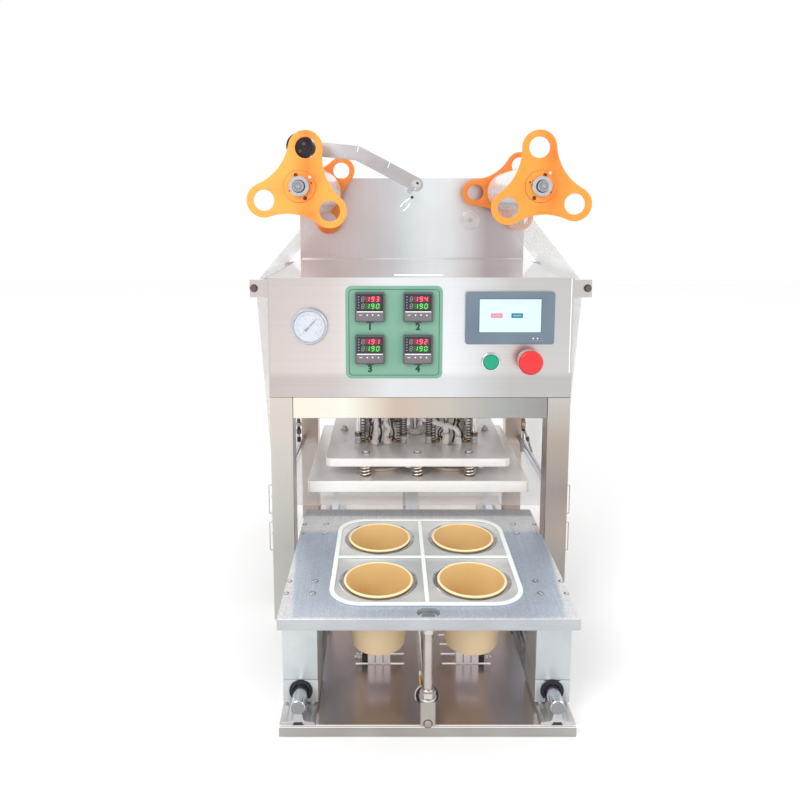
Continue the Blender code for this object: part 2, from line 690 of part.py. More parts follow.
def sealing_heads(body):
    """Heated discs that hang from the upper plate on two studs each."""
    nut_bottom = UPPER_PLATE_Z[1] + GAP
    for number, x, y in head_centres():
        disc = round_bar("sealing_head_" + str(number), HEAD_RADIUS, (x, y, 208 * MM), (x, y, 232 * MM), 20)
        hangers = []
        for s in (-1, 1):
            sx = x + s * STUD_OFFSET
            hangers.append(round_bar("stud", STUD_RADIUS, (sx, y, 226 * MM), (sx, y, STUD_TOP), 8))
            hangers.append(round_bar("stud_nut", 7 * MM, (sx, y, nut_bottom),
                                     (sx, y, nut_bottom + 7 * MM), 6))
        finish(fuse(disc, *hangers), BRASS, body)


# ---------------------------------------------------------------- film

def lobed_outline(first_angle, steps=6):
    """Three round lobes joined by hollow curves that meet them tangentially."""
    lobe, reach, waist = LOBE_RADIUS, LOBE_DISTANCE, WEB_WAIST
    web_centre = (reach ** 2 - (waist - lobe) ** 2) / (reach - 2 * (waist - lobe))
    web_radius = web_centre - waist
    to_web = math.degrees(math.atan2(web_centre * math.sin(math.radians(60)),
                                     web_centre * math.cos(math.radians(60)) - reach))
    outline = []
    for k in range(3):
        turn = first_angle + 120 * k
        centre = arc((0, 0), reach, turn, turn, 1)[0]
        outline += arc(centre, lobe, turn - to_web, turn + to_web, steps)
        hollow = arc((0, 0), web_centre, turn + 60, turn + 60, 1)[0]
        start = turn + to_web + 180
        end = turn + 120 - to_web + 180
        outline += arc(hollow, web_radius, start, end, 4)[1:-1]
    return outline


def spool_disc(name, side, first_angle, y, inward, body):
    """Lobed flange with a raised hub ring outside and a boss that enters the film core."""
    x, z = side * SPOOL[0], SPOOL[1]
    outlines = [lobed_outline(first_angle)]
    for k in range(3):
        centre = arc((0, 0), LOBE_DISTANCE, first_angle + 120 * k, first_angle, 1)[0]
        outlines.append(circle(centre, LOBE_HOLE, 12))
    disc = profile_plate(name, outlines, DISC_THICKNESS, (x, y, z), upright=True)
    half = DISC_THICKNESS / 2
    boss = round_bar("core_boss", CORE_RADIUS - 0.6 * MM, (x, y, z),
                     (x, y + inward * (half + 18 * MM), z))
    ring = round_bar("hub_ring", 26 * MM, (x, y, z), (x, y - inward * (half + 1.8 * MM), z), 20)
    bore = round_bar("hub_bore", SPOOL_SHAFT + 0.3 * MM, (x, y - 60 * MM, z), (x, y + 60 * MM, z), 24)
    fuse(disc, boss, ring)
    finish(cut(disc, bore), ORANGE, body)


def spool(side, roll_radius, body):
    """Shaft with collars, two lobed discs and the film wound on its core."""
    x, z = side * SPOOL[0], SPOOL[1]
    where = side_name(side)
    front_angle, rear_angle = DISC_ANGLES[side]
    profile = in_mm([(0, 456.4), (8, 456.4), (8, 443.5), (11.7, 443.5), (11.7, 426), (16.5, 426),
                     (16.5, 419.8), (11.7, 419.8), (11.7, 40.2), (16.5, 40.2), (16.5, 32),
                     (15.5, 31), (11.7, 31), (11.7, 23), (10.7, 22), (0, 22)])
    finish(turned("spool_shaft_" + where, profile, (x, 0, z), sides=16), CHROME, body)
    spool_disc("disc_front_" + where, side, front_angle, DISC_FRONT_Y, 1, body)
    spool_disc("disc_rear_" + where, side, rear_angle, DISC_REAR_Y, -1, body)
    y0, y1 = FILM_Y[0] - 1 * MM, FILM_Y[1] + 2 * MM
    roll = turned("film_roll_" + where, [
        (roll_radius, y1), (roll_radius, y0), (CORE_RADIUS, y0), (CORE_RADIUS, y1),
    ], (x, 0, z), ring=True, sides=28)
    finish(roll, FILM, body)


def guide_roller(name, centre, side, y0, y1, pin_radius, pin_y0, pin_y1, body):
    r, p = ROLLER_RADIUS, pin_radius
    roller = turned(name, [(0, pin_y1), (p, pin_y1), (p, y1), (r, y1), (r, y0), (p, y0), (p, pin_y0),
                           (0, pin_y0)], (side * centre[0], 0, centre[1]), sides=12)
    finish(roller, CHROME, body)


def tangent_angle(first, first_radius, second, second_radius):
    """Angle of a travelling line's left normal. Radii are positive where the centre is on its left."""
    step = Vector(second) - Vector(first)
    heading = math.atan2(step.y, step.x)
    return heading + math.acos((second_radius - first_radius) / step.length)


def film_line():
    """Film centre line from the supply roll round four rollers to the take-up roll."""
    r = ROLLER_RADIUS + FILM_OFFSET
    stops = [
        ((-SPOOL[0], SPOOL[1]), -(SUPPLY_RADIUS + FILM_OFFSET)),
        ((-CORNER_ROLLER[0], CORNER_ROLLER[1]), r),
        ((-LOWER_ROLLER[0], LOWER_ROLLER[1]), r),
        (LOWER_ROLLER, r),
        (CORNER_ROLLER, r),
        (SPOOL, -(TAKEUP_RADIUS + FILM_OFFSET)),
    ]
    normals = [tangent_angle(a, ra, b, rb) for (a, ra), (b, rb) in zip(stops, stops[1:])]
    points = []
    for i, (centre, radius) in enumerate(stops):
        before = normals[max(i - 1, 0)]
        after = normals[min(i, len(normals) - 1)]
        if after < before - MERGE:
            after += math.tau
        steps = 6 if after > before else 0
        for k in range(steps + 1):
            angle = before + (after - before) * k / max(steps, 1)
            points.append((centre[0] - radius * math.cos(angle), centre[1] - radius * math.sin(angle)))
    return points


def film_web():
    """Thin sheet along the film line."""
    bm = bmesh.new()
    edges = []
    for x, z in film_line():
        edges.append([bm.verts.new((x, y, z)) for y in FILM_Y])
    for first, second in zip(edges, edges[1:]):
        bm.faces.new((first[0], first[1], second[1], second[0]))
    sheet = place("film_web", to_mesh(bm, "film_web"))
    walls = sheet.modifiers.new("Film", "SOLIDIFY")
    walls.thickness = FILM_THICKNESS
    walls.offset = 0
    finish(sheet, FILM)


def feed_motor():
    """Geared motor behind the back panel, on the take-up spool's axis."""
    profile = in_mm([(0, 505), (20, 505), (22, 503), (22, 482), (27, 482), (27, 457.4), (0, 457.4)])
    finish(turned("feed_motor", profile, (SPOOL[0], 0, SPOOL[1]), sides=16), DARK)


# ---------------------------------------------------------------- contact arm

def arm_outline(points, half, end_steps=8):
    """Constant-width strip round a bent centre line, with round ends."""
    points = [Vector(p) for p in points]
    left, right = [], []
    for before, here, after in zip(points, points[1:], points[2:]):
        first, second = (here - before).normalized(), (after - here).normalized()
        across = Vector((-first.y - second.y, first.x + second.x)).normalized()
        reach = half / across.dot(Vector((-first.y, first.x)))
        left.append(tuple(here + across * reach))
        right.append(tuple(here - across * reach))
    out = points[1] - points[0]
    back = points[-1] - points[-2]
    start = math.degrees(math.atan2(out.y, out.x))
    end = math.degrees(math.atan2(back.y, back.x))
    outline = arc(points[0], half, start + 90, start + 270, end_steps)
    outline += right + arc(points[-1], half, end - 90, end + 90, end_steps) + left[::-1]
    return outline


def roll_arm(body, wheel_body):
    """Bent sheet arm on its pivot, with the rubber wheel that rides on the supply roll."""
    line = [ARM_PIVOT] + ARM_BENDS + [ARM_WHEEL]
    outlines = [arm_outline(line, ARM_HALF_HEIGHT), circle(ARM_PIVOT, 5.4 * MM, 16)]
    arm = profile_plate("roll_arm", outlines, 5 * MM, (0, ARM_Y, 0), upright=True)
    x, z = ARM_WHEEL
    axle = round_bar("wheel_axle", 4 * MM, (x, 61 * MM, z), (x, ARM_Y, z), 12)
    finish(fuse(arm, axle), ALUMINIUM, body)
    y0, y1, bore = 63 * MM, 91 * MM, 4.5 * MM
    wheel = turned("contact_wheel", [
        (WHEEL_RADIUS - 1 * MM, y1), (WHEEL_RADIUS, y1 - 1 * MM), (WHEEL_RADIUS, y0 + 1 * MM),
        (WHEEL_RADIUS - 1 * MM, y0), (bore, y0), (bore, y1),
    ], (x, 0, z), ring=True, sides=20)
    finish(wheel, RUBBER, wheel_body)


# ---------------------------------------------------------------- assembly

def build():
    base_plate()
    for side in (-1, 1):
        rail(side)
    posts()
    front_beam()
    bridge_plate()
    housing_shell()
    back_panel()

    gauge(body_axis("needle_axis", GAUGE[0], 0, GAUGE[1]))
    control_plate()
    temperature_controllers()
    touch_screen()
    push_buttons(body_axis("start_axis", START[0], 0, START[1]),
                 body_axis("estop_axis", ESTOP[0], 0, ESTOP[1]))

    tray = body_axis("tray_slide", 0, 0, RAIL_Z)
    tray_cylinder()
    tray_plate(tray)
    gasket(tray)
    cups(tray)
    slide_legs(tray)
    drive_post(tray)
    for side in (-1, 1):
        ejector(side, body_axis("lifter_axis_" + side_name(side), side * CUP_PITCH / 2, TRAY_GRID_Y, 0))

    head = body_axis("press_axis", 0, HEAD_Y, 0)
    plate = body_axis("plate_axis", 0, HEAD_Y, 0)
    press_cylinder()
    head_upper_plate(head)
    sealing_heads(head)
    head_lower_plate(plate)

    spool(-1, SUPPLY_RADIUS, body_axis("supply_axis", -SPOOL[0], 0, SPOOL[1]))
    spool(1, TAKEUP_RADIUS, body_axis("takeup_axis", SPOOL[0], 0, SPOOL[1]))
    for side in (-1, 1):
        where = side_name(side)
        x, z = CORNER_ROLLER
        guide_roller("corner_roller_" + where, CORNER_ROLLER, side, 10 * MM, 404 * MM, 4 * MM, 0,
                     414 * MM, body_axis("corner_axis_" + where, side * x, 0, z))
        x, z = LOWER_ROLLER
        guide_roller("lower_roller_" + where, LOWER_ROLLER, side, 41 * MM, 412 * MM, 3 * MM,
                     POST + GAP, DEPTH - POST - GAP, body_axis("lower_axis_" + where, side * x, 0, z))
    film_web()
    feed_motor()
    roll_arm(body_axis("arm_axis", ARM_PIVOT[0], 0, ARM_PIVOT[1]),
             body_axis("wheel_axis", ARM_WHEEL[0], 0, ARM_WHEEL[1]))


build()
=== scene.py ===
"""Looks of the four-cup tray sealing machine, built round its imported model.

+Z is up, +X is the operator's right and +Y runs to the back. Places come from the boxes of
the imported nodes; sizes are written in millimetres and become metres as a shape is made.
"""
import math

import bmesh
import bpy
from mathutils import Matrix, Vector, noise


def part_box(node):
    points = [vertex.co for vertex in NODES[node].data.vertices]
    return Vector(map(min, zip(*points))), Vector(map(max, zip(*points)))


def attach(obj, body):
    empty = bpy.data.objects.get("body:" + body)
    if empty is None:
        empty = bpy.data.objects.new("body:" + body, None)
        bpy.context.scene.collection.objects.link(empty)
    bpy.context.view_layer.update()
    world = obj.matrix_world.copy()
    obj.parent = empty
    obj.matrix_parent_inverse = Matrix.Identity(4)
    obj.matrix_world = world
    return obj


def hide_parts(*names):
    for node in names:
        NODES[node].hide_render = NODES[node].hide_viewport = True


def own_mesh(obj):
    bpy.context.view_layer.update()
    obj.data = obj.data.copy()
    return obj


MM = 0.001                          # metres in a millimetre
MERGE = 0.00001                     # anything closer or thinner than this counts as one point
ROUND = 64                          # sides of a turned piece
SIDES = (("left", -1), ("right", 1))    # names of the two sides, and their direction along X

HOUSING_TOP, BACK_FACE = 593.7, 453     # height of the cover, depth of the rear panel's front face
RAIL_Z, ROD_Z = 41.9, 38            # heights of the tray's two shafts and of its cylinder's rod
DRIVE_Y = -275                      # depth of the drive post under the tray
PLATE_TOP, SPRING_FRONT = 263, 88   # top of the head's upper plate, depth of its front springs
FRONT_ROW = 225                     # heads before this depth are in the front row
DISC_FACES = {"front": (42.5, 47.5), "rear": (417.5, 412.5)}    # outer and inner face of the spools' discs

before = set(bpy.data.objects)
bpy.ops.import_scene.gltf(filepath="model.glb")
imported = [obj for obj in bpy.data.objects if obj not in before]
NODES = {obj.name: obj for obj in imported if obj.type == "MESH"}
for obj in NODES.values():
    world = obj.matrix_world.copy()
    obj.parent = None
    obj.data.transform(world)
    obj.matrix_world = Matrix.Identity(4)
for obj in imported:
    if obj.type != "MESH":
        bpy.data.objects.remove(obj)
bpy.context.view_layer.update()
SCENE = bpy.context.scene


def box(node):
    """Lowest corner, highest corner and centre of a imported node, in millimetres."""
    low, high = (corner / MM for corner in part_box(node))
    return low, high, (low + high) / 2


def round_node(node):
    """Centre of a round node's near end, its radius and its length."""
    low, high, middle = box(node)
    return Vector((middle.x, low.y, middle.z)), (high.x - low.x) / 2, high.y - low.y


# ---------------------------------------------------------------- camera and light

def camera():
    data = bpy.data.cameras.new("camera")
    data.sensor_width = 36
    data.lens = 32.43
    data.shift_x = 0.01424
    data.shift_y = -0.11978
    obj = bpy.data.objects.new("camera", data)
    obj.location = (-0.0525, -1.1657, 0.7032)
    obj.rotation_euler = (math.radians(90 - 7.485), 0, 0)
    SCENE.collection.objects.link(obj)
    SCENE.camera = obj


def soft_box(name, place, target, size, power):
    data = bpy.data.lights.new(name, "AREA")
    data.shape = "RECTANGLE"
    data.size, data.size_y = size
    data.energy = power
    obj = bpy.data.objects.new(name, data)
    obj.location = place
    obj.rotation_euler = (Vector(target) - Vector(place)).to_track_quat("-Z", "Y").to_euler()
    SCENE.collection.objects.link(obj)


def studio():
    """White surround, a pale floor and two soft boxes."""
    SCENE.view_settings.view_transform = "Standard"
    world = bpy.data.worlds.new("studio")
    world.use_nodes = True
    world.node_tree.nodes["Background"].inputs["Color"].default_value = (1.0, 1.0, 1.0, 1)
    world.node_tree.nodes["Background"].inputs["Strength"].default_value = 1.0
    SCENE.world = world
    mesh = bpy.data.meshes.new("floor")
    reach = 6.0
    mesh.from_pydata([(-reach, -reach, 0), (reach, -reach, 0), (reach, reach, 0), (-reach, reach, 0)], [],
                     [(0, 1, 2, 3)])
    floor = bpy.data.objects.new("floor", mesh)
    mesh.materials.append(Look("floor", (0.98, 0.98, 0.98), 0.6).material)
    SCENE.collection.objects.link(floor)
    middle = (0, 0.1, 0.4)
    soft_box("key", (-1.6, -2.2, 2.4), middle, (1.6, 1.6), 42)
    soft_box("fill", (2.2, -1.2, 1.6), middle, (1.4, 1.8), 14)


# ---------------------------------------------------------------- materials

class Look:
    """Principled material whose node tree is built step by step."""

    def __init__(self, name, colour, roughness, metallic=0.0, **sockets):
        self.material = bpy.data.materials.new(name)
        self.material.use_nodes = True
        self.tree = self.material.node_tree
        self.shader = self.tree.nodes["Principled BSDF"]
        self.shader.inputs["Base Color"].default_value = (*colour, 1)
        self.shader.inputs["Roughness"].default_value = roughness
        self.shader.inputs["Metallic"].default_value = metallic
        for socket, value in sockets.items():
            self.shader.inputs[socket.replace("_", " ")].default_value = value
        self.place = self.tree.nodes.new("ShaderNodeTexCoord").outputs["Object"]

    def node(self, kind, links=(), **values):
        made = self.tree.nodes.new(kind)
        for socket, value in values.items():
            made.inputs[socket.replace("_", " ")].default_value = value
        for socket, source in links:
            self.tree.links.new(source, made.inputs[socket])
        return made

    def noise(self, scale, stretch=(1, 1, 1), detail=3.0):
        mapping = self.node("ShaderNodeMapping", [("Vector", self.place)], Scale=stretch)
        return self.node("ShaderNodeTexNoise", [("Vector", mapping.outputs[0])], Scale=scale,
                         Detail=detail).outputs[0]

    def along(self, axis, low, high):
        """0 at low and 1 at high, along X, Y or Z."""
        split = self.node("ShaderNodeSeparateXYZ", [(0, self.place)])
        return self.node("ShaderNodeMapRange", [("Value", split.outputs[axis])], From_Min=low * MM,
                         From_Max=high * MM).outputs[0]

    def ramp(self, value, stops):
        """Colours, or greys given as one number, along a value from 0 to 1."""
        made = self.node("ShaderNodeValToRGB", [(0, value)])
        points = made.color_ramp.elements
        while len(points) < len(stops):
            points.new(0.5)
        for point, (position, colour) in zip(points, stops):
            point.position = position
            point.color = (*(colour if isinstance(colour, tuple) else (colour,) * 3), 1)
        return made.outputs[0]

    def mix(self, factor, first, second, blend="MIX"):
        made = self.tree.nodes.new("ShaderNodeMix")
        made.data_type = "RGBA"
        made.blend_type = blend
        for socket, value in ((0, factor), (6, first), (7, second)):
            if isinstance(value, bpy.types.NodeSocket):
                self.tree.links.new(value, made.inputs[socket])
            elif socket == 0:
                made.inputs[socket].default_value = value
            else:
                made.inputs[socket].default_value = (*value, 1)
        return made.outputs[2]

    def times(self, first, second):
        return self.mix(1.0, first, second, "MULTIPLY")

    def colour(self, source):
        self.tree.links.new(source, self.shader.inputs["Base Color"])
        return self

    def roughness(self, source, low, high):
        spread = self.node("ShaderNodeMapRange", [("Value", source)], To_Min=low, To_Max=high)
        self.tree.links.new(spread.outputs[0], self.shader.inputs["Roughness"])
        return self

    def bump(self, source, distance, strength=1.0):
        made = self.node("ShaderNodeBump", [("Height", source)], Distance=distance * MM, Strength=strength)
        self.tree.links.new(made.outputs[0], self.shader.inputs["Normal"])
        return self


def tone(red, green, blue):
    """Linear colour from 0-255 display values."""
    def linear(value):
        value /= 255
        return value / 12.92 if value <= 0.04045 else ((value + 0.055) / 1.055) ** 2.4
    return (linear(red), linear(green), linear(blue))


def brushed_steel(name, axis, span, tones, brushing, roughness=(0.24, 0.40), painted_shade_height=None, metallic=1.0):
    """Brushed sheet with a painted reflection: its tone drifts along one axis, from evenly spaced tones.

    Where a height is given, the sheet is painted darker below it: a painted shade along its lower edge.
    """
    tones = [tone(*shown) for shown in tones]
    look = Look(name, tones[0], 0.3, metallic)
    last = len(tones) - 1
    # Painted reflection: the tone drifts along the axis through the given tones.
    base = look.ramp(look.along(axis, *span), [(i / last, t) for i, t in enumerate(tones)])
    hairs = look.noise(1.0, brushing, 4.0)
    clouds = look.noise(5.0, detail=2.0)
    tinted = look.mix(look.ramp(clouds, [(0.35, 0), (0.75, 0.22)]), base, tone(196, 190, 187))
    shade = look.ramp(hairs, [(0.25, 0.90), (0.75, 1)])
    # Painted shade below the given height.
    if painted_shade_height:
        height = look.along(2, painted_shade_height - 6, painted_shade_height + 6)
        shade = look.times(shade, look.ramp(height, [(0, 0.83), (1, 1)]))
    look.colour(look.times(tinted, shade))
    look.roughness(hairs, *roughness)
    look.bump(hairs, 0.02, 0.35)
    return look.material


def milled(name, dark, light, scale=900.0, stretch=(1, 1, 1), bump=0.03, metallic=1.0):
    """Machined aluminium with a fine mottled grain."""
    dark, light = tone(*dark), tone(*light)
    look = Look(name, light, 0.34, metallic)
    grain = look.noise(scale, stretch, 2.0)
    patches = look.noise(14.0)
    base = look.mix(look.ramp(patches, [(0.35, 0), (0.65, 1)]), dark, light)
    shade = look.ramp(grain, [(0.3, (0.93, 0.935, 0.94)), (0.7, 1)])
    look.colour(look.times(base, shade))
    look.roughness(grain, 0.26, 0.44)
    look.bump(grain, bump, 0.4)
    return look.material


def tray_steel(name):
    """Milled tray top: a bluish mottled field with paler warm strips along its edges; the field's tones and the
    strips are painted reflection.
    """
    look = Look(name, tone(190, 198, 208), 0.4, 0.6)
    low, high, _ = box("tray_plate")
    # Painted reflection: the bluish field and the paler warm strips at its front, rear and sides.
    blue, warm, grey = tone(190, 201, 214), tone(240, 238, 235), tone(192, 191, 193)
    across, back = look.along(0, low.x, high.x), look.along(1, low.y, high.y)
    stops = [(0, warm), (0.02, tone(206, 215, 225)), (0.4, blue), (0.72, tone(192, 202, 214)),
             (0.76, tone(232, 230, 228)), (0.905, warm), (0.93, grey), (1, grey)]
    rows = look.ramp(look.along(1, low.y, high.y), stops)
    slant = look.times(back, (0.09, 0.09, 0.09))
    left = look.mix(1.0, across, slant, "ADD")
    right = look.mix(1.0, across, slant, "SUBTRACT")
    left = look.ramp(left, [(0, 1), (0.048, 0.9), (0.058, 0), (1, 0)])
    right = look.ramp(right, [(0, 0), (0.944, 0), (0.956, 0.9), (1, 1)])
    sides = look.mix(1.0, left, right, "ADD")
    base = look.mix(sides, rows, warm)
    specks = look.ramp(look.noise(420.0, (1, 0.8, 1), 5.0), [(0.40, (0.83, 0.85, 0.88)), (0.60, 1)])
    streaks = look.ramp(look.noise(1.0, (330, 7, 330)), [(0.35, (0.91, 0.93, 0.95)), (0.6, 1)])
    clouds = look.ramp(look.noise(11.0), [(0.35, (0.88, 0.90, 0.93)), (0.7, 1)])
    shaded = look.times(look.times(specks, streaks), clouds)
    look.colour(look.times(base, shaded))
    grain = look.noise(700.0, (1, 0.5, 1), 2.0)
    look.roughness(grain, 0.3, 0.5)
    look.bump(grain, 0.03, 0.4)
    return look.material


def polished_pan(name):
    """Satin base pan that reflects what stands on it, with faint drawing lines and smears, and painted light
    along its depth.
    """
    look = Look(name, tone(200, 180, 174), 0.2, 0.88)
    low, high, _ = box("base_plate")
    # Painted light along the pan's depth: a darker front face, a painted highlight on the lip's rounded top,
    # and painted reflection tones behind it.
    shown = ((0, 176, 173, 170), (0.0002, 180, 177, 174), (0.0004, 252, 250, 248), (0.0020, 252, 250, 248),
             (0.0032, 226, 212, 208), (0.12, 234, 222, 226), (0.3, 234, 220, 216), (1, 224, 214, 210))
    rows = look.ramp(look.along(1, low.y, high.y), [(share, tone(*colour)) for share, *colour in shown])
    smears = look.ramp(look.noise(13.0, (1, 0.6, 1), 4.0), [(0.35, (0.86, 0.84, 0.83)), (0.65, 1)])
    lines = look.ramp(look.noise(1.0, (900, 5, 900), 2.0), [(0.3, 0.965), (0.7, 1)])
    look.colour(look.times(rows, look.times(smears, lines)))
    look.roughness(look.noise(20.0), 0.14, 0.30)
    return look.material


def plain_metal(name, colour, roughness, scale=160.0, metallic=1.0):
    """Turned or plated metal with light handling marks."""
    colour = tone(*colour)
    look = Look(name, colour, roughness, metallic)
    marks = look.noise(scale, (1, 1, 1), 4.0)
    shade = look.ramp(marks, [(0.3, 0.88), (0.65, 1)])
    look.colour(look.times(colour, shade))
    look.roughness(marks, roughness * 0.75, roughness * 1.4)
    return look.material


def moulded(name, dark, light, roughness, scale=300.0, bump=0.03, **sockets):
    """Moulded plastic or rubber with a fine skin texture."""
    dark, light = tone(*dark), tone(*light)
    look = Look(name, light, roughness, 0.0, **sockets)
    skin = look.noise(scale, (1, 1, 1), 2.0)
    clouds = look.noise(18.0, detail=2.0)
    look.colour(look.mix(clouds, dark, light))
    look.roughness(skin, roughness * 0.85, roughness * 1.2)
    look.bump(skin, bump, 0.3)
    return look.material


def glowing(name, colour, strength, roughness=0.3):
    """Lit surface of a display or lamp; also a glow that stands for painted light where there is no lamp."""
    colour = tone(*colour)
    look = Look(name, colour, roughness)
    look.shader.inputs["Emission Color"].default_value = (*colour, 1)
    look.shader.inputs["Emission Strength"].default_value = strength
    return look.material


def orange_plastic(name, light, deep, side):
    """Moulded orange with a painted shade that runs deeper on one side of the hub."""
    light, deep = tone(*light), tone(*deep)
    look = Look(name, light, 0.42, 0.0, Subsurface_Weight=0.08)
    centre = box("disc_front_" + side)[2]
    # Painted shade: deeper orange in a band on one side of the hub, broken by clouds.
    drift = look.along(0, centre.x - 12, centre.x + 48)
    clouds = look.noise(22.0, detail=2.0)
    amount = look.times(look.ramp(drift, [(0, 0), (0.5, 1), (1, 0.12)]),
                        look.ramp(clouds, [(0.3, 0.35), (0.7, 1)]))
    look.colour(look.mix(amount, light, deep))
    skin = look.noise(420.0, detail=2.0)
    look.roughness(skin, 0.36, 0.5)
    look.bump(skin, 0.02, 0.3)
    return look.material


def clear_film(name, alpha, white):
    """Clear film that shows as a pale haze."""
    white = tone(*white)
    look = Look(name, white, 0.18, 0.0, Alpha=alpha, Coat_Weight=0.3)
    haze = look.noise(9.0, (1, 0.25, 1))
    look.roughness(haze, 0.12, 0.34)
    look.colour(look.mix(haze, tone(232, 230, 230), white))
    return look.material


def glass(name):
    """Clear glass with a few smears."""
    look = Look(name, (1, 1, 1), 0.05, 0.0, Alpha=0.16)
    smears = look.noise(60.0)
    look.roughness(smears, 0.02, 0.1)
    return look.material


# ---------------------------------------------------------------- shapes

def slab(low, high, bevel=0.0, segments=2):
    """Box between two corners, with its edges eased where bevel is set."""
    low, high = Vector(low) * MM, Vector(high) * MM
    shape = bmesh.new()
    bmesh.ops.create_cube(shape, size=1, matrix=Matrix.Translation((low + high) / 2)
                          @ Matrix.Diagonal((*(high - low), 1)))
    if bevel:
        bmesh.ops.bevel(shape, geom=shape.edges[:], offset=bevel * MM, segments=segments, profile=0.5,
                        affect="EDGES")
    return shape


def lathe(profile, origin=(0, 0, 0), axis=(0, 1, 0), sides=ROUND, marks=None):
    """Turned shape from (radius, distance along the axis) points; a ring repeats its first point.

    marks gives a material number to each stretch of the profile.
    """
    shape = bmesh.new()
    rings = []
    for i, (radius, distance) in enumerate(profile):
        if i and (radius, distance) == profile[0]:
            rings.append(rings[0])
            continue
        count = sides if radius > MERGE else 1
        reach = radius * MM
        rings.append([shape.verts.new((reach * math.cos(math.tau * k / sides),
                                       reach * math.sin(math.tau * k / sides), distance * MM))
                      for k in range(count)])
    for i, (first, second) in enumerate(zip(rings, rings[1:])):
        for k in range(sides):
            corners = [first[k % len(first)], first[(k + 1) % len(first)], second[(k + 1) % len(second)],
                       second[k % len(second)]]
            corners = list(dict.fromkeys(corners))
            if len(corners) > 2:
                face = shape.faces.new(corners)
                face.material_index = marks[i] if marks else 0
    bmesh.ops.recalc_face_normals(shape, faces=shape.faces)
    turn = Vector(axis).to_track_quat("Z", "Y").to_matrix().to_4x4()
    shape.transform(Matrix.Translation(Vector(origin) * MM) @ turn)
    return shape


def bar(radius, start, end, chamfer=0.0, sides=ROUND):
    """Round bar, or a prism with few sides, with chamfered ends."""
    start, end = Vector(start), Vector(end)
    length = (end - start).length
    profile = [(0, 0), (radius - chamfer, 0), (radius, chamfer), (radius, length - chamfer),
               (radius - chamfer, length), (0, length)]
    if not chamfer:
        profile = [(0, 0), (radius, 0), (radius, length), (0, length)]
    return lathe(profile, start, end - start, sides)


def tube(inner, outer, start, end, chamfer=0.3):
    """Round sleeve with a chamfered outer edge at both ends."""
    start, end = Vector(start), Vector(end)
    length, c = (end - start).length, chamfer
    profile = [(outer - c, 0), (outer, c), (outer, length - c), (outer - c, length), (inner, length),
               (inner, 0), (outer - c, 0)]
    return lathe(profile, start, end - start)


def arc(centre, radius, start, end, steps):
    """Points on an arc, with angles in degrees."""
    points = []
    for i in range(steps + 1):
        angle = math.radians(start + (end - start) * i / steps)
        points.append((centre[0] + radius * math.cos(angle), centre[1] + radius * math.sin(angle)))
    return points


def circle(centre, radius, sides=ROUND):
    return arc(centre, radius, 0, 360, sides)[:-1]


def rounded(low, high, radius, steps=8):
    """Outline of a rectangle with round corners."""
    x0, y0, x1, y1 = low[0] + radius, low[1] + radius, high[0] - radius, high[1] - radius
    corners = enumerate([(x1, y1), (x0, y1), (x0, y0), (x1, y0)])
    return [point for k, centre in corners for point in arc(centre, radius, 90 * k, 90 * k + 90, steps)]


def mesh_of_curve(curve, matrix):
    """Shape of a curve or text once it is filled and rounded."""
    guide = bpy.data.objects.new("guide", curve)
    SCENE.collection.objects.link(guide)
    guide.matrix_world = matrix
    bpy.context.view_layer.update()
    evaluated = guide.evaluated_get(bpy.context.evaluated_depsgraph_get())
    mesh = bpy.data.meshes.new_from_object(evaluated)
    shape = bmesh.new()
    shape.from_mesh(mesh)
    shape.transform(matrix)
    bmesh.ops.remove_doubles(shape, verts=shape.verts, dist=MERGE)
    bpy.data.objects.remove(guide)
    bpy.data.meshes.remove(mesh)
    return shape


def plate(outlines, low, high, bevel=0.0, upright=False):
    """Flat plate with holes between two levels of Z, or of Y where upright is set."""
    curve = bpy.data.curves.new("outline", "CURVE")
    curve.dimensions = "2D"
    curve.fill_mode = "BOTH"
    curve.extrude = ((high - low) / 2 - bevel) * MM
    curve.bevel_depth = bevel * MM
    curve.bevel_resolution = 2
    curve.offset = -bevel * MM
    for outline in outlines:
        spline = curve.splines.new("POLY")
        spline.points.add(len(outline) - 1)
        for point, (x, y) in zip(spline.points, outline):
            point.co = (x * MM, y * MM, 0, 1)
        spline.use_cyclic_u = True
    middle = (low + high) / 2 * MM
    if upright:
        matrix = Matrix.Translation((0, middle, 0)) @ Matrix.Rotation(math.radians(90), 4, "X")
    else:
        matrix = Matrix.Translation((0, 0, middle))
    return mesh_of_curve(curve, matrix)


def placed(shape, x, z, turn=0.0):
    """Turns an upright shape about Y by degrees, and moves it to its place."""
    shape.transform(Matrix.Translation(Vector((x, 0, z)) * MM)
                    @ Matrix.Rotation(math.radians(turn), 4, "Y"))
    return shape


def wire(points, radius, resolution=3):
    """Round wire or hose through the points."""
    curve = bpy.data.curves.new("wire", "CURVE")
    curve.dimensions = "3D"
    curve.bevel_depth = radius * MM
    curve.bevel_resolution = resolution
    curve.use_fill_caps = True
    spline = curve.splines.new("POLY")
    spline.points.add(len(points) - 1)
    for point, place in zip(spline.points, points):
        point.co = (*(Vector(place) * MM), 1)
    return mesh_of_curve(curve, Matrix())


def spring(centre, radius, low, high, turns, wire_radius):
    """Helical spring between two levels, with closed ends."""
    steps = 18
    points = []
    for i in range(turns * steps + 1):
        share = i / (turns * steps)
        lift = min(max((share * turns - 0.6) / (turns - 1.2), 0), 1)
        angle = math.tau * share * turns
        points.append((centre[0] + radius * math.cos(angle), centre[1] + radius * math.sin(angle),
                       low + wire_radius + (high - low - 2 * wire_radius) * lift))
    return wire(points, wire_radius, resolution=2)


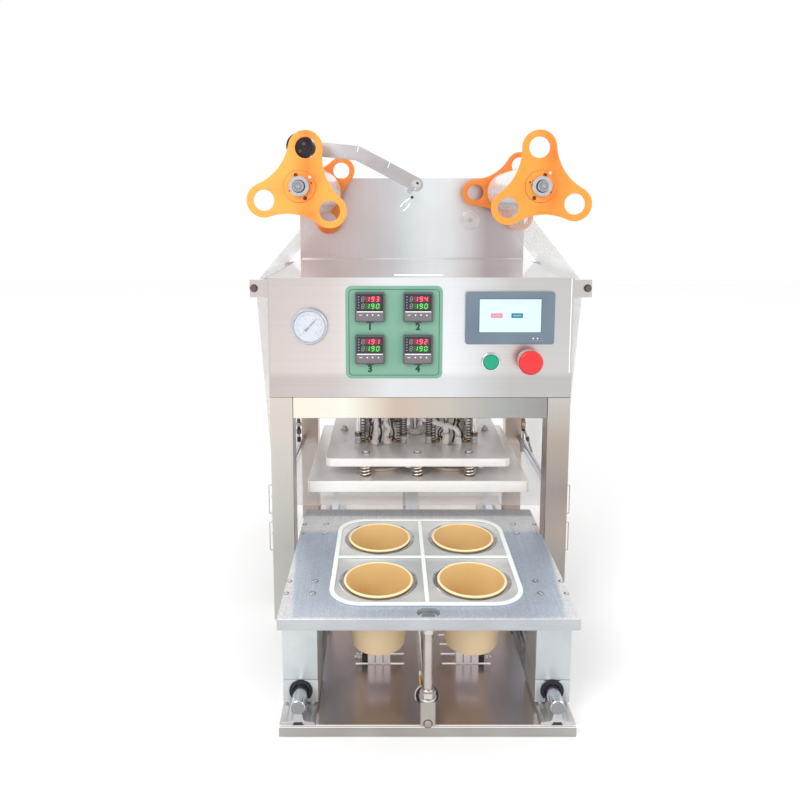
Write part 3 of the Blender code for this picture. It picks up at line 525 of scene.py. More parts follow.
def lettering(text, size, place, depth, weight=0.0):
    """Raised figures, centred on a place on an upright face."""
    curve = bpy.data.curves.new("figures", "FONT")
    curve.offset = weight * MM
    curve.body = text
    curve.size = size * MM
    curve.extrude = depth / 2 * MM
    curve.align_x = curve.align_y = "CENTER"
    return mesh_of_curve(curve, Matrix.Translation(Vector(place) * MM)
                         @ Matrix.Rotation(math.radians(90), 4, "X"))


def merge(whole, shape):
    """Moves one shape into another."""
    mesh = bpy.data.meshes.new("shape")
    shape.to_mesh(mesh)
    shape.free()
    whole.from_mesh(mesh)
    bpy.data.meshes.remove(mesh)


class Solid:
    """Piece made of closed shapes, each with its own material, placed from the piece's origin."""

    def __init__(self, name, origin=(0, 0, 0)):
        self.name = name
        self.origin = Vector(origin)
        self.shape = bmesh.new()
        self.looks = []

    def block(self, look, low, high, bevel=0.0):
        self.add(slab(self.origin + Vector(low), self.origin + Vector(high), bevel), look)

    def rod(self, look, radius, start, end, chamfer=0.0, sides=ROUND):
        self.add(bar(radius, self.origin + Vector(start), self.origin + Vector(end), chamfer, sides), look)

    def lead(self, look, radius, points, steps=20):
        """Wire or hose along a smooth line through the points."""
        line = smooth_line([self.origin + Vector(point) for point in points], steps)
        self.add(wire(line, radius), look)

    def pipe(self, look, inner, outer, start, end, chamfer=0.3):
        self.add(tube(inner, outer, self.origin + Vector(start), self.origin + Vector(end), chamfer), look)

    def panel(self, look, outlines, start, end, bevel=0.0):
        """Upright plate between two depths, with outlines in the frame's own X and Z."""
        self.add(plate(outlines, *sorted((start, end)), bevel, upright=True), look)

    def flat(self, look, outlines, low, high, bevel=0.0):
        self.add(plate(outlines, low, high, bevel), look)

    def turned(self, look, profile, place=(0, 0, 0), axis=(0, 1, 0), sides=ROUND):
        self.add(lathe(profile, self.origin + Vector(place), axis, sides), look)

    def add(self, shape, *looks):
        numbers = []
        for look in looks:
            if look not in self.looks:
                self.looks.append(look)
            numbers.append(self.looks.index(look))
        for face in shape.faces:
            face.material_index = numbers[face.material_index % len(numbers)]
        merge(self.shape, shape)

    def made(self, body, slot, *replaced, angle=32):
        mesh = bpy.data.meshes.new(self.name)
        self.shape.to_mesh(mesh)
        self.shape.free()
        mesh.shade_smooth()
        mesh.set_sharp_from_angle(angle=math.radians(angle))
        for look in self.looks:
            mesh.materials.append(look)
        obj = bpy.data.objects.new(self.name, mesh)
        SCENE.collection.objects.link(obj)
        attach(obj, body)
        if replaced:
            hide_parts(*replaced)
        return obj


def edge_look(obj, look):
    """Gives the upright faces of a plate their own painted light: a separately toned copy of its metal."""
    obj.data.materials.append(look)
    number = len(obj.data.materials) - 1
    for face in obj.data.polygons:
        if abs(face.normal.z) < 0.4:
            face.material_index = number


def keep(node, look, bevel=0.0):
    """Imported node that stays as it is, with its edges eased and a finished material."""
    obj = NODES[node]
    obj.data.materials.clear()
    obj.data.materials.append(look)
    for face in obj.data.polygons:
        face.material_index = 0
    if bevel:
        weld = obj.modifiers.new("Weld", "WELD")
        weld.merge_threshold = MERGE
        ease = obj.modifiers.new("Ease", "BEVEL")
        ease.width = bevel * MM
        ease.segments = 3
        ease.limit_method = "ANGLE"
        ease.angle_limit = math.radians(40)
        ease.harden_normals = True
    return obj


def cut(target, shape):
    """Boolean difference, applied to the target's mesh."""
    mesh = bpy.data.meshes.new("cutter")
    shape.to_mesh(mesh)
    shape.free()
    tool = bpy.data.objects.new("cutter", mesh)
    SCENE.collection.objects.link(tool)
    change = target.modifiers.new("Cut", "BOOLEAN")
    change.operation = "DIFFERENCE"
    change.solver = "EXACT"
    change.object = tool
    bpy.context.view_layer.update()
    evaluated = target.evaluated_get(bpy.context.evaluated_depsgraph_get())
    result = bpy.data.meshes.new_from_object(evaluated)
    target.modifiers.remove(change)
    old = target.data
    target.data = result
    bpy.data.meshes.remove(old)
    bpy.data.objects.remove(tool)
    result.shade_smooth()
    result.set_sharp_from_angle(angle=math.radians(32))


# ---------------------------------------------------------------- finished materials

HAIRS_ACROSS = (3, 300, 1500)       # brushing that runs along X
HAIRS_UP = (1500, 1500, 6)          # brushing that runs along Z

# Painted reflection and shade: the tones across the front panel, the rear panel and the beam stand in for what
# they reflect and where shade falls.
PANEL_STEEL = brushed_steel("panel_steel", 0, (-250, 250),
                            [(206, 197, 194), (216, 209, 205), (240, 242, 245), (238, 241, 245),
                             (206, 204, 203), (202, 201, 200)], HAIRS_ACROSS, painted_shade_height=433)
TOP_STEEL = brushed_steel("top_steel", 0, (-250, 250), [(248, 245, 244), (252, 251, 251)], HAIRS_ACROSS,
                          (0.05, 0.12), metallic=0.94)
BACK_STEEL = brushed_steel("back_steel", 0, (-250, 250),
                           [(209, 190, 188), (210, 192, 191), (217, 201, 200), (218, 206, 206),
                            (212, 206, 208), (215, 215, 219), (229, 235, 239), (240, 246, 250),
                            (243, 248, 251), (229, 227, 230), (189, 181, 185), (198, 188, 190),
                            (214, 208, 210)], HAIRS_UP)
# Lit and shaded copies of the post steel: the left front post is painted lighter, the right front and rear
# posts painted darker, each with painted tones up its height.
POST_PAINTED_LIT = brushed_steel("post_painted_lit", 2, (0, 394),
                           [(204, 203, 197), (184, 183, 177), (196, 192, 184), (208, 201, 191)], HAIRS_UP)
POST_PAINTED_SHADE = brushed_steel("post_painted_shade", 2, (0, 394),
                          [(196, 195, 190), (156, 154, 150), (170, 158, 150), (150, 142, 138),
                           (174, 162, 151), (194, 190, 187)], HAIRS_UP)
POST_REAR_PAINTED_SHADE = brushed_steel("post_rear_painted_shade", 2, (0, 394), [(190, 170, 156), (204, 188, 174)], HAIRS_UP)
BEAM_STEEL = brushed_steel("beam_steel", 0, (-210, 210),
                           [(240, 230, 214), (246, 242, 230), (200, 182, 168), (196, 189, 178),
                            (164, 168, 166), (150, 146, 147)], HAIRS_ACROSS)
BASE_STEEL = polished_pan("base_steel")
TRAY_TOP_METAL = tray_steel("tray_metal")
PLATE_METAL = milled("plate_metal", (244, 240, 238), (253, 251, 250), 900.0, (0.2, 1, 1), 0.015, 0.6)
# Painted light on upright faces: the head plates' sides are painted lighter and the tray's sides painted darker
# than their tops.
PLATE_EDGE_PAINTED_LIGHT = milled("plate_edge_painted_light", (250, 247, 244), (255, 253, 251), 900.0, (0.1, 1, 1), 0.01, 0.2)
TRAY_EDGE_PAINTED_SHADE = milled("tray_edge_painted_shade", (174, 177, 181), (186, 189, 192), 900.0, (0.1, 1, 1), 0.01, 0.6)
PANE_METAL = milled("pane_metal", (206, 210, 212), (236, 236, 235), 420.0, (1, 1, 1), 0.02, 0.5)
BLOCK_METAL = milled("block_metal", (240, 236, 234), (252, 250, 248), 260.0, (1, 0.2, 1), 0.03, 0.15)
BLOCK_GREY = milled("block_grey", (156, 151, 146), (176, 170, 164), 260.0, (1, 1, 0.2), 0.03, 0.6)
LEG_METAL = milled("leg_metal", (186, 192, 195), (200, 205, 206), 700.0, (1, 1, 1), 0.03, 0.7)
RAIL_METAL = milled("rail_metal", (172, 173, 174), (202, 202, 202), 300.0, (1, 0.05, 1), 0.03, 0.8)
SHAFT_STEEL = plain_metal("shaft_steel", (206, 208, 214), 0.16, 90.0)
BOLT_STEEL = plain_metal("bolt_steel", (206, 200, 196), 0.28, 400.0, 0.62)
END_GREY = plain_metal("end_grey", (140, 142, 146), 0.4, 300.0, 0.5)
SPRING_STEEL = plain_metal("spring_steel", (232, 220, 208), 0.3, 200.0)
BOLT_LIGHT = plain_metal("bolt_light", (238, 236, 234), 0.34, 300.0)
ROD_STEEL = plain_metal("rod_steel", (192, 182, 178), 0.26, 26.0, 0.9)
GAUGE_STEEL = plain_metal("gauge_steel_ring", (196, 199, 207), 0.3, 200.0, 0.9)
DARK_STEEL = plain_metal("dark_steel", (112, 104, 98), 0.34, 300.0)
CHROME = plain_metal("chrome", (224, 224, 226), 0.10, 60.0)
BRASS = plain_metal("brass", (186, 150, 92), 0.30, 220.0)
HEAD_BRASS = milled("head_brass", (214, 196, 178), (236, 224, 210), 200.0, (1, 1, 1), 0.03, 0.5)
ARM_METAL = milled("arm_metal", (182, 176, 178), (196, 191, 192), 500.0)
BLACK = moulded("black", (22, 22, 24), (38, 38, 42), 0.42)
RUBBER = moulded("rubber", (24, 18, 28), (34, 28, 38), 0.62, 500.0, 0.05)
GREY_PLASTIC = moulded("grey_plastic", (150, 150, 152), (176, 176, 178), 0.45)
BEZEL_BLUE = moulded("bezel_blue", (96, 110, 124), (110, 126, 140), 0.36, 600.0)
SCREEN_EDGE = moulded("screen_edge", (70, 98, 112), (84, 112, 126), 0.3, 600.0)
CONTROLLER = moulded("controller", (70, 71, 78), (86, 87, 94), 0.40, 700.0)
CONTROLLER_KEYS = moulded("controller_keys", (104, 98, 104), (120, 114, 118), 0.42, 700.0)
SMOKED = moulded("smoked_window", (34, 34, 42), (44, 42, 50), 0.16, 40.0, 0.0)
GREEN_PAINT = moulded("green_paint", (108, 156, 134), (124, 170, 150), 0.46, 900.0)
GREEN_LINE = moulded("green_line", (44, 108, 76), (56, 120, 88), 0.46, 900.0)
INK = moulded("ink", (10, 50, 34), (16, 60, 42), 0.6)
WHITE_PRINT = moulded("white_print", (232, 232, 234), (244, 244, 246), 0.5)
SILICONE = moulded("silicone", (238, 238, 230), (250, 250, 244), 0.55, 260.0, 0.06, Subsurface_Weight=0.1)
SLEEVE = moulded("sleeve", (238, 226, 220), (254, 250, 246), 0.8, 900.0, 0.12, Subsurface_Weight=0.15)
WIRE_BROWN = moulded("wire_brown", (66, 42, 32), (96, 66, 52), 0.5)
WIRE_GREY = moulded("wire_grey", (120, 112, 108), (150, 142, 138), 0.5)
# Painted light: a glow with no lamp behind it, for light seen through slots and for painted highlights.
PAINTED_GLOW = glowing("painted_glow", (240, 236, 234), 0.45, 0.5)
RED_CAP = moulded("red_cap", (206, 24, 32), (228, 40, 44), 0.34, 500.0, 0.02, Coat_Weight=0.2)
RED_PAINTED_SHEEN = moulded("red_painted_sheen", (232, 110, 112), (240, 128, 124), 0.36, 500.0, 0.02)
GREEN_CAP = moulded("green_cap", (2, 146, 112), (6, 164, 128), 0.5, 500.0, 0.02)
DIAL = moulded("dial", (184, 190, 204), (202, 208, 220), 0.6)
DIAL_MARK = moulded("dial_mark", (44, 52, 76), (58, 66, 90), 0.6)
CUP_INSIDE = moulded("cup_inside", (222, 186, 124), (236, 204, 146), 0.52, 60.0, 0.02)
CUP_SEAM = moulded("cup_seam", (196, 150, 86), (208, 164, 98), 0.6, 60.0, 0.02)
CUP_OUTSIDE = moulded("cup_outside", (206, 180, 142), (222, 198, 162), 0.78, 90.0, 0.05)
CUP_RIM = moulded("cup_rim", (246, 222, 172), (252, 232, 188), 0.6, 120.0, 0.02)
ROLL_CORE = moulded("roll_core", (190, 160, 122), (206, 178, 140), 0.8)
FILM = clear_film("film", 0.55, (254, 253, 252))
CLEAR_CAP = clear_film("clear_cap", 0.5, (250, 246, 248))
GLASS = glass("gauge_glass")
RED_GLOW = glowing("red_glow", (255, 96, 122), 1.1)
GREEN_GLOW = glowing("green_glow", (104, 212, 92), 0.9)
RED_HAZE = moulded("red_haze", (120, 30, 44), (142, 40, 56), 0.4)
GREEN_HAZE = moulded("green_haze", (32, 84, 44), (42, 100, 52), 0.4)
DIM_SEGMENT = moulded("dim_segment", (140, 140, 146), (164, 164, 170), 0.3)
SCREEN_GLOW = glowing("screen_glow", (168, 192, 192), 0.72, 0.12)
SCREEN_PINK = glowing("screen_pink", (176, 110, 124), 0.8, 0.2)
SCREEN_TEAL = glowing("screen_teal", (24, 104, 122), 0.6, 0.2)
SCREEN_TEXT = glowing("screen_text", (160, 176, 186), 0.5, 0.2)
LAMP = glowing("lamp", (200, 236, 230), 0.8, 0.3)
GEAR_MOTOR = moulded("motor_paint", (30, 31, 34), (44, 45, 48), 0.4)
# Painted shade: dark hole bottoms and a dark line round the foot of each hub ring on the spools.
HOLE_PAINTED_SHADE = moulded("hole_painted_shade", (96, 48, 14), (120, 62, 22), 0.6)
ORANGE_PAINTED_SHADE_LINE = moulded("orange_painted_shade_line", (176, 96, 28), (204, 118, 40), 0.6)


# ---------------------------------------------------------------- fasteners

def hex_bolt(solid, place, axis, across=8, height=4, look=BOLT_STEEL):
    """Hexagon head on a washer, standing on a face with the given outward axis."""
    place, axis = Vector(place), Vector(axis)
    foot = place + axis * 0.8
    solid.rod(look, across * 0.72, place, foot, 0.2, 32)
    solid.rod(look, across * 0.577, foot, foot + axis * height, 0.5, 6)


def socket_screw(solid, place, axis, radius=3.5, height=3, look=BOLT_STEEL):
    """Cap screw with a hexagon socket."""
    place, axis = Vector(place), Vector(axis)
    well = radius * 0.5
    profile = [(0, height * 0.35), (well, height * 0.35), (well, height), (radius - 0.4, height),
               (radius, height - 0.4), (radius, 0), (0, 0)]
    solid.turned(look, profile, place, axis, 24)


# ---------------------------------------------------------------- frame

def frame_parts():
    keep("base_plate", BASE_STEEL, 1.5)
    # The posts take lit and shaded copies of one steel: painted light and shade.
    for row in ("front", "rear"):
        keep("post_" + row + "_left", POST_PAINTED_LIT if row == "front" else POST_REAR_PAINTED_SHADE, 2)
        keep("post_" + row + "_right", POST_PAINTED_SHADE if row == "front" else POST_REAR_PAINTED_SHADE, 2)
    keep("front_beam", BEAM_STEEL, 1.2)
    keep("bridge_plate", PLATE_METAL, 0.6)
    shell = keep("housing_shell", PANEL_STEEL, 1.0)
    shell.data.materials.append(TOP_STEEL)
    for face in shell.data.polygons:
        face.material_index = 1 if face.normal.z > 0.8 else 0
    keep("back_panel", BACK_STEEL, 1.0)
    keep("press_cylinder", PLATE_METAL, 1.5)
    details = Solid("frame_details")
    low, high, _ = box("base_plate")
    for side in (-1, 1):
        # Painted light: a glowing strip in each slot of the pan, for the light seen through it.
        for y in (-146, -121.5, -96, -71):
            x = side * 66
            details.block(PAINTED_GLOW, (x - 36.7, y - 1.5, high.z - 4), (x + 36.7, y + 1.5, high.z - 0.05))
        for z in (145, 211.5):
            side_handle(details, side, z, 26.5)
    # Painted highlight along the rounded top of the pan's front lip.
    details.rod(PAINTED_GLOW, 1.7, (low.x + 2, low.y + 1.65, high.z - 1.6),
                (high.x - 2, low.y + 1.65, high.z - 1.6), 0.4, 32)
    details.made("frame", "stainless_sheet")


def side_handle(solid, side, z, half):
    """Thin folded bracket on the outer face of a front post."""
    x = side * 250
    out = side * 7
    points = [(x, 14, z - half), (x + out, 14, z - half + 2), (x + out, 14, z + half - 2),
              (x, 14, z + half)]
    solid.add(wire(points, 1.1), BOLT_STEEL)
    hex_bolt(solid, (x, 14, z + 6), (side, 0, 0), 5, 2)


def housing_details():
    """Corner bolts, the cover's rear joint and top lip, a painted highlight bar on top, painted shade and
    highlight lines down the front edges, and the clear cap on the rear panel.
    """
    details = Solid("housing_details")
    middle = box("corner_roller_left")[2]
    for side in (-1, 1):
        x, z = side * abs(middle.x), middle.z
        hex_bolt(details, (x, 1.7, z), (0, -1, 0), 9, 4, DARK_STEEL)
        hex_bolt(details, (x, 412.3, z), (0, 1, 0), 8, 3)
    top, rear = HOUSING_TOP, BACK_FACE
    details.block(PANEL_STEEL, (-246, rear - 1.4, top - 0.5), (246, rear - 0.2, top + 1.4), 0.3)
    # Painted highlight: a glowing bar along the cover's top.
    details.block(PAINTED_GLOW, (-43, 38, top - 0.2), (39, 52, top + 0.4), 0.2)
    # Painted shade down the cover's left front edge and a painted highlight down its right one.
    for x, look in ((-249, GREY_PLASTIC), (245.2, PAINTED_GLOW)):
        details.block(look, (x, -0.12, 436), (x + 0.9, 0.3, top - 1.5))
    cap = (129, rear, 681)
    profile = [(0, 9), (7, 9), (8, 8), (17, 7.5), (21.5, 5), (22.5, 0), (0, 0)]
    details.turned(CLEAR_CAP, profile, cap, (0, -1, 0))
    socket_screw(details, (129, rear - 9, 681), (0, -1, 0), 4, 2.5)
    details.made("frame", "stainless_sheet")


def side_fittings():
    """Air hoses and small fittings that hang from the housing beside the press head."""
    solid = Solid("side_fittings", (0, 200, 0))
    solid.lead(GREY_PLASTIC, 2, [(214, 0, 434), (214, 0, 380), (212, 0, 330), (211, 0, 296)])
    for low, high, radius, sides, look in ((292, 298, 4.2, 6, BRASS), (286, 292, 5.4, 24, BOLT_STEEL),
                                           (279, 286, 4.6, 6, BRASS), (274, 279, 3.4, 24, BLACK)):
        solid.rod(look, radius, (211, 0, low), (211, 0, high), 0.5, sides)
    solid.rod(ROD_STEEL, 2.2, (211, 0, 283), (229, 0, 231), 0.3, 24)
    solid.rod(DARK_STEEL, 3.6, (218.5, 0, 261.5), (221, 0, 254), 0.4, 24)
    solid.block(GREY_PLASTIC, (206, -3, 232), (213, 3, 256), 1)
    solid.rod(GREY_PLASTIC, 1.8, (211, 0, 256), (211, 0, 276))
    solid.lead(GREY_PLASTIC, 2, [(-226, 0, 434), (-226, 0, 390), (-227, 0, 340), (-228, 0, 298)])
    for low, high, radius, look in ((291, 298, 3.6, DARK_STEEL), (284, 291, 5.2, BOLT_STEEL),
                                    (278, 284, 3, BLACK), (268, 278, 4.6, DARK_STEEL),
                                    (262, 268, 2.6, BOLT_STEEL), (252, 262, 3.8, BLACK)):
        solid.rod(look, radius, (-228, 0, low), (-228, 0, high), 0.5, 6)
    solid.made("frame", "chromed_steel")


# ---------------------------------------------------------------- control panel

def gauge():
    centre = box("gauge_case")[2]
    x, z = centre.x, centre.z
    solid = Solid("gauge_body")
    solid.turned(GAUGE_STEEL, [(0, 30), (26, 30), (26, 0), (30, 0), (30.2, -5), (29.6, -8), (28.4, -9),
                               (26.6, -9), (25.8, -8), (25.2, -6.4), (25, -5.6), (0, -5.6)], (x, -0.3, z))
    face = -6.0
    solid.turned(DIAL, [(0, face), (24.9, face), (24.9, face - 0.25), (0, face - 0.25)], (x, 0, z))
    top = face - 0.25
    for k in range(51):
        major = k % 5 == 0
        inner, outer = (17.5 if major else 19.2), 21.5
        mark = slab((inner, top - 0.12, -0.22 if major else -0.12),
                    (outer, top + 0.05, 0.22 if major else 0.12))
        solid.add(placed(mark, x, z, 270 * k / 50 - 225), DIAL_MARK)
    for k in range(0, 11, 2):
        angle = math.radians(225 - 27 * k)
        spot = (x + 14 * math.cos(angle), top, z + 14 * math.sin(angle))
        solid.add(lettering(str(k), 4.2, spot, 0.12), DIAL_MARK)
    solid.made("frame", "gauge_steel", "gauge_case")

    cover = Solid("gauge_glass")
    cover.turned(GLASS, [(0, -8.2), (25.6, -8.2), (25.6, -7.9), (0, -7.9)], (x, 0, z))
    cover.made("frame", "gauge_steel")

    hand = Solid("gauge_hand")
    outline = [(-10, -1.8), (-9, -2.2), (-3, -1.1), (0, -1.1), (18.5, -0.35), (18.5, 0.35), (0, 1.1),
               (-3, 1.1), (-9, 2.2), (-10, 1.8)]
    needle = plate([outline], -7.2, -6.9, upright=True)
    hand.add(placed(needle, x, z, -47), BLACK)
    hand.rod(GREY_PLASTIC, 1.9, (x, -6.6, z), (x, -7.6, z), 0.3, 24)
    hand.made("needle", "needle_black", "gauge_needle")


SEGMENTS = {"0": "abcdef", "1": "bc", "2": "abged", "3": "abgcd", "4": "fgbc", "5": "afgcd", "6": "afgedc",
            "7": "abc", "8": "abcdefg", "9": "abcdfg"}


def seven_segment(solid, digit, x, z, height, front, look):
    """One display figure made of slanted bars."""
    lean = 0.12
    half, width = height / 2, height * 0.52
    thick = height * 0.13
    side, end = thick / 2, thick * 0.6
    ends = {"a": ((0, half), (width, half)), "b": ((width, half), (width, 0)),
            "c": ((width, 0), (width, -half)), "d": ((0, -half), (width, -half)), "e": ((0, 0), (0, -half)),
            "f": ((0, half), (0, 0)), "g": ((0, 0), (width, 0))}
    for name in SEGMENTS[digit]:
        (u0, v0), (u1, v1) = ends[name]
        if v0 == v1:
            low, high = (u0 + end, v0 - side), (u1 - end, v0 + side)
        else:
            low, high = (u0 - side, min(v0, v1) + end), (u0 + side, max(v0, v1) - end)
        piece = slab((low[0], front - 0.15, low[1]), (high[0], front + 0.05, high[1]))
        for vert in piece.verts:
            vert.co.x += vert.co.z * lean
        solid.add(placed(piece, x, z), look)


def temperature_controllers():
    readings = (("193", "190"), ("194", "190"), ("191", "190"), ("192", "190"))
    for number, (upper, lower) in enumerate(readings, 1):
        node = "temp_controller_" + str(number)
        low, _, centre = box(node)
        x, z, front = centre.x, centre.z, low.y
        half, face = 24, front + 1.6
        solid = Solid("controller_" + str(number), (x, 0, z))
        case = rounded((x - half, z - half), (x + half, z + half), 1.8, 4)
        window = rounded((x - 21.5, z - 6.2), (x + 21.5, z + 21), 1, 3)
        solid.panel(CONTROLLER, [case, window], front, -2.1, 0.7)
        solid.block(SMOKED, (-22, face, -8), (22, -2.6, 21.5))
        solid.block(BLACK, (-22.5, -3, -22.5), (22.5, 60, 22.5), 0.5)
        solid.block(BLACK, (-6, -5.5, -half - 2), (6, -2.2, -half + 0.6), 0.6)
        for level, text, look, haze in ((13.2, upper, RED_GLOW, RED_HAZE),
                                        (1.6, lower, GREEN_GLOW, GREEN_HAZE)):
            solid.block(haze, (-7.4, face - 0.06, level - 4.4), (17.4, face + 0.1, level + 4.4))
            for k, digit in enumerate("8" + text):
                seven_segment(solid, digit, x - 13.2 + k * 8, z + level, 7.6, face,
                              look if k else DIM_SEGMENT)
        for k in range(5):
            level = 17 - 4.6 * k
            solid.block(DIM_SEGMENT, (-19.6, face - 0.1, level - 0.6), (-17, face + 0.1, level + 0.6))
        solid.block(WHITE_PRINT, (-21, front - 0.1, -8.2), (21, front + 0.3, -6.6))
        solid.block(CONTROLLER_KEYS, (-22, front - 0.05, -22), (22, front + 0.4, -8.8), 0.1)
        controller_keys(solid, x, z, front)
        solid.made("frame", "controller_black", node)


def controller_keys(solid, x, z, front):
    """Printed set bar and left, down and up arrows."""
    top, level = front - 0.2, -12.8
    solid.block(WHITE_PRINT, (-17, top, level - 0.5), (-12.5, front, level + 0.5))
    for centre, turn in ((-4.5, 180), (4.5, 270), (14, 90)):
        arrow = plate([[(1.6, 0), (-1.2, 1.6), (-1.2, -1.6)]], top, front, upright=True)
        solid.add(placed(arrow, x + centre, z + level, -turn), WHITE_PRINT)


def control_plate():
    """Green plate with a raised border line and a figure under each controller."""
    low, high, _ = box("control_plate")
    solid = Solid("green_plate")
    outlines = [rounded((low.x, low.z), (high.x, high.z), 10)]
    line = [rounded((low.x + 5, low.z + 5), (high.x - 5, high.z - 5), 7),
            rounded((low.x + 6.3, low.z + 6.3), (high.x - 6.3, high.z - 6.3), 6)]
    for number in range(1, 5):
        middle = box("temp_controller_" + str(number))[2]
        half = 22.8
        outlines.append([(middle.x - half, middle.z - half), (middle.x + half, middle.z - half),
                         (middle.x + half, middle.z + half), (middle.x - half, middle.z + half)])
        spot = (middle.x, low.y, middle.z - 33.5)
        solid.add(lettering(str(number), 15, spot, 0.3, 0.7), INK)
    solid.panel(GREEN_PAINT, outlines, low.y, high.y, 0.5)
    solid.panel(GREEN_LINE, line, low.y - 0.12, low.y + 0.3)
    solid.made("frame", "green_panel", "control_plate")


def touch_screen():
    low, high, centre = box("touch_screen")
    x, z, front = centre.x, centre.z, low.y
    face = front + 0.7
    solid = Solid("screen_unit", (x, 0, z))
    window = rounded((x - 51, z - 23.7), (x + 51, z + 32.3), 0.8, 3)
    solid.panel(BEZEL_BLUE, [rounded((low.x, low.z), (high.x, high.z), 4), window], front, -0.3, 1.2)
    solid.block(BLACK, (-66.5, -1, -37), (66.5, 35, 37), 1)
    solid.block(SCREEN_EDGE, (-51.5, face + 0.3, -24.2), (51.5, -0.6, 32.8))
    solid.block(SCREEN_GLOW, (-50, face, -22.7), (50, face + 0.5, 31.3))
    for left, right, look in ((-32, -12.5, SCREEN_PINK), (1.5, 20.5, SCREEN_TEAL)):
        key = rounded((x + left, z + 0.6), (x + right, z + 8.6), 1.2, 4)
        solid.panel(look, [key], face - 0.12, face + 0.1)
        for k in range(4):
            dash = left + 3.6 + 3.2 * k
            solid.block(SCREEN_TEXT, (dash, face - 0.18, 3.8), (dash + 2.2, face, 5.2))
    for k in range(7):
        dash = 5 * k - 14
        solid.block(SCREEN_TEXT, (dash, face - 0.1, 25.2), (dash + 3, face + 0.1, 26.2))
    for k in range(3):
        u = 38 + 7 * k
        solid.rod(LAMP if k < 2 else GREY_PLASTIC, 0.9, (u, front - 0.15, -33), (u, front + 0.2, -33), 0,
                  16)
        solid.block(GREY_PLASTIC, (u - 2, front - 0.1, -37), (u + 2, front + 0.2, -36.3))
    solid.made("frame", "screen_bezel", "touch_screen")


def push_buttons():
    """Start button in its chrome ring, and the emergency stop, whose head has a paler red painted sheen below
    its dome.
    """
    outward = (0, -1, 0)
    centre = box("start_button")[2]
    place = (centre.x, 0, centre.z)
    ring = Solid("start_ring", place)
    ring.turned(CHROME, [(12.3, 0), (15.6, 0), (15.6, 2.6), (14.8, 4.2), (13.2, 4.6), (12.3, 4.0), (12.3, 0)],
                axis=outward)
    ring.made("frame", "gauge_steel")
    cap = Solid("start_cap", place)
    cap.turned(GREEN_CAP, [(0, -14), (7, -14), (7, 0), (12, 0), (12, 5.4), (11.5, 6.5), (10.6, 6.9), (9.6, 6.6),
                           (0, 6.2)], axis=outward)
    cap.made("start_cap", "start_green", "start_button")

    centre = box("estop_button")[2]
    place = (centre.x, 0, centre.z)
    collar = Solid("stop_collar", place)
    collar.turned(GREY_PLASTIC, [(11.3, 0), (17.5, 0), (17.5, 1.6), (15, 3.4), (14, 8), (11.3, 8), (11.3, 0)],
                  axis=outward)
    collar.made("frame", "controller_black")
    head = Solid("stop_head")
    profile = [(0, -20), (11, -20), (11, 14.5), (16.4, 15), (17.6, 16), (19.4, 19.5), (20, 23), (20, 26.6),
               (19.2, 28.6), (17.6, 29.8), (15, 30.3), (0, 30.5)]
    # Painted sheen: the stem and skirt take the paler red, the dome the deep red.
    marks = [1] * 7 + [0] * 4
    head.add(lathe(profile, place, outward, marks=marks), RED_CAP, RED_PAINTED_SHEEN)
    head.made("stop_head", "stop_red", "estop_button")


# ---------------------------------------------------------------- tray

CUP_CENTRES = [box("cup_" + str(n))[2] for n in range(1, 5)]


def tray():
    """Tray plate with its cup seats and pocket, and the rings and screws sunk in it."""
    low, high, _ = box("tray_plate")
    outlines = [rounded((low.x, low.y), (high.x, high.y), 3, 4)]
    outlines += [circle((c.x, c.y), 48.4, 96) for c in CUP_CENTRES]
    pocket = rounded((-15.5, DRIVE_Y - 10.5), (15.5, DRIVE_Y + 10.5), 10.4)
    solid = Solid("tray_top")
    solid.flat(TRAY_TOP_METAL, outlines, low.z, high.z, 1.2)
    obj = solid.made("tray", "machined_aluminium", "tray_plate")
    cutter = bmesh.new()
    for c in CUP_CENTRES:
        merge(cutter, bar(56.5, (c.x, c.y, high.z - 1.6), (c.x, c.y, high.z + 5), 0, 96))
    merge(cutter, plate([pocket], high.z - 8, high.z + 5))
    cut(obj, cutter)
    # Painted shade on the tray's upright faces.
    edge_look(obj, TRAY_EDGE_PAINTED_SHADE)

    details = Solid("tray_details", (0, 0, high.z))
    ring = [(48.6, -1.5), (56.3, -1.5), (56.3, 0.1), (55.2, 0.5), (54, -0.6), (49, -0.9), (48.6, -1.5)]
    for c in CUP_CENTRES:
        details.turned(SHAFT_STEEL, ring, (c.x, c.y, 0), (0, 0, 1), 96)
    for side in (-1, 1):
        for x, radius in ((158, 4.2), (194.2, 3.2)):
            for y in (-5, -40, -194, -227):
                flush_screw(details, (side * x, y, 0), radius)
    for grow, top, look in ((0, 3.4, END_GREY), (3, 4.9, PANE_METAL)):
        island = rounded((-9 - grow, DRIVE_Y - 5 - grow), (9 + grow, DRIVE_Y + 5 + grow), 4.9 + grow)
        details.flat(look, [island], high.z - 8.2, high.z - top, 0.8)
    details.made("tray", "machined_aluminium")


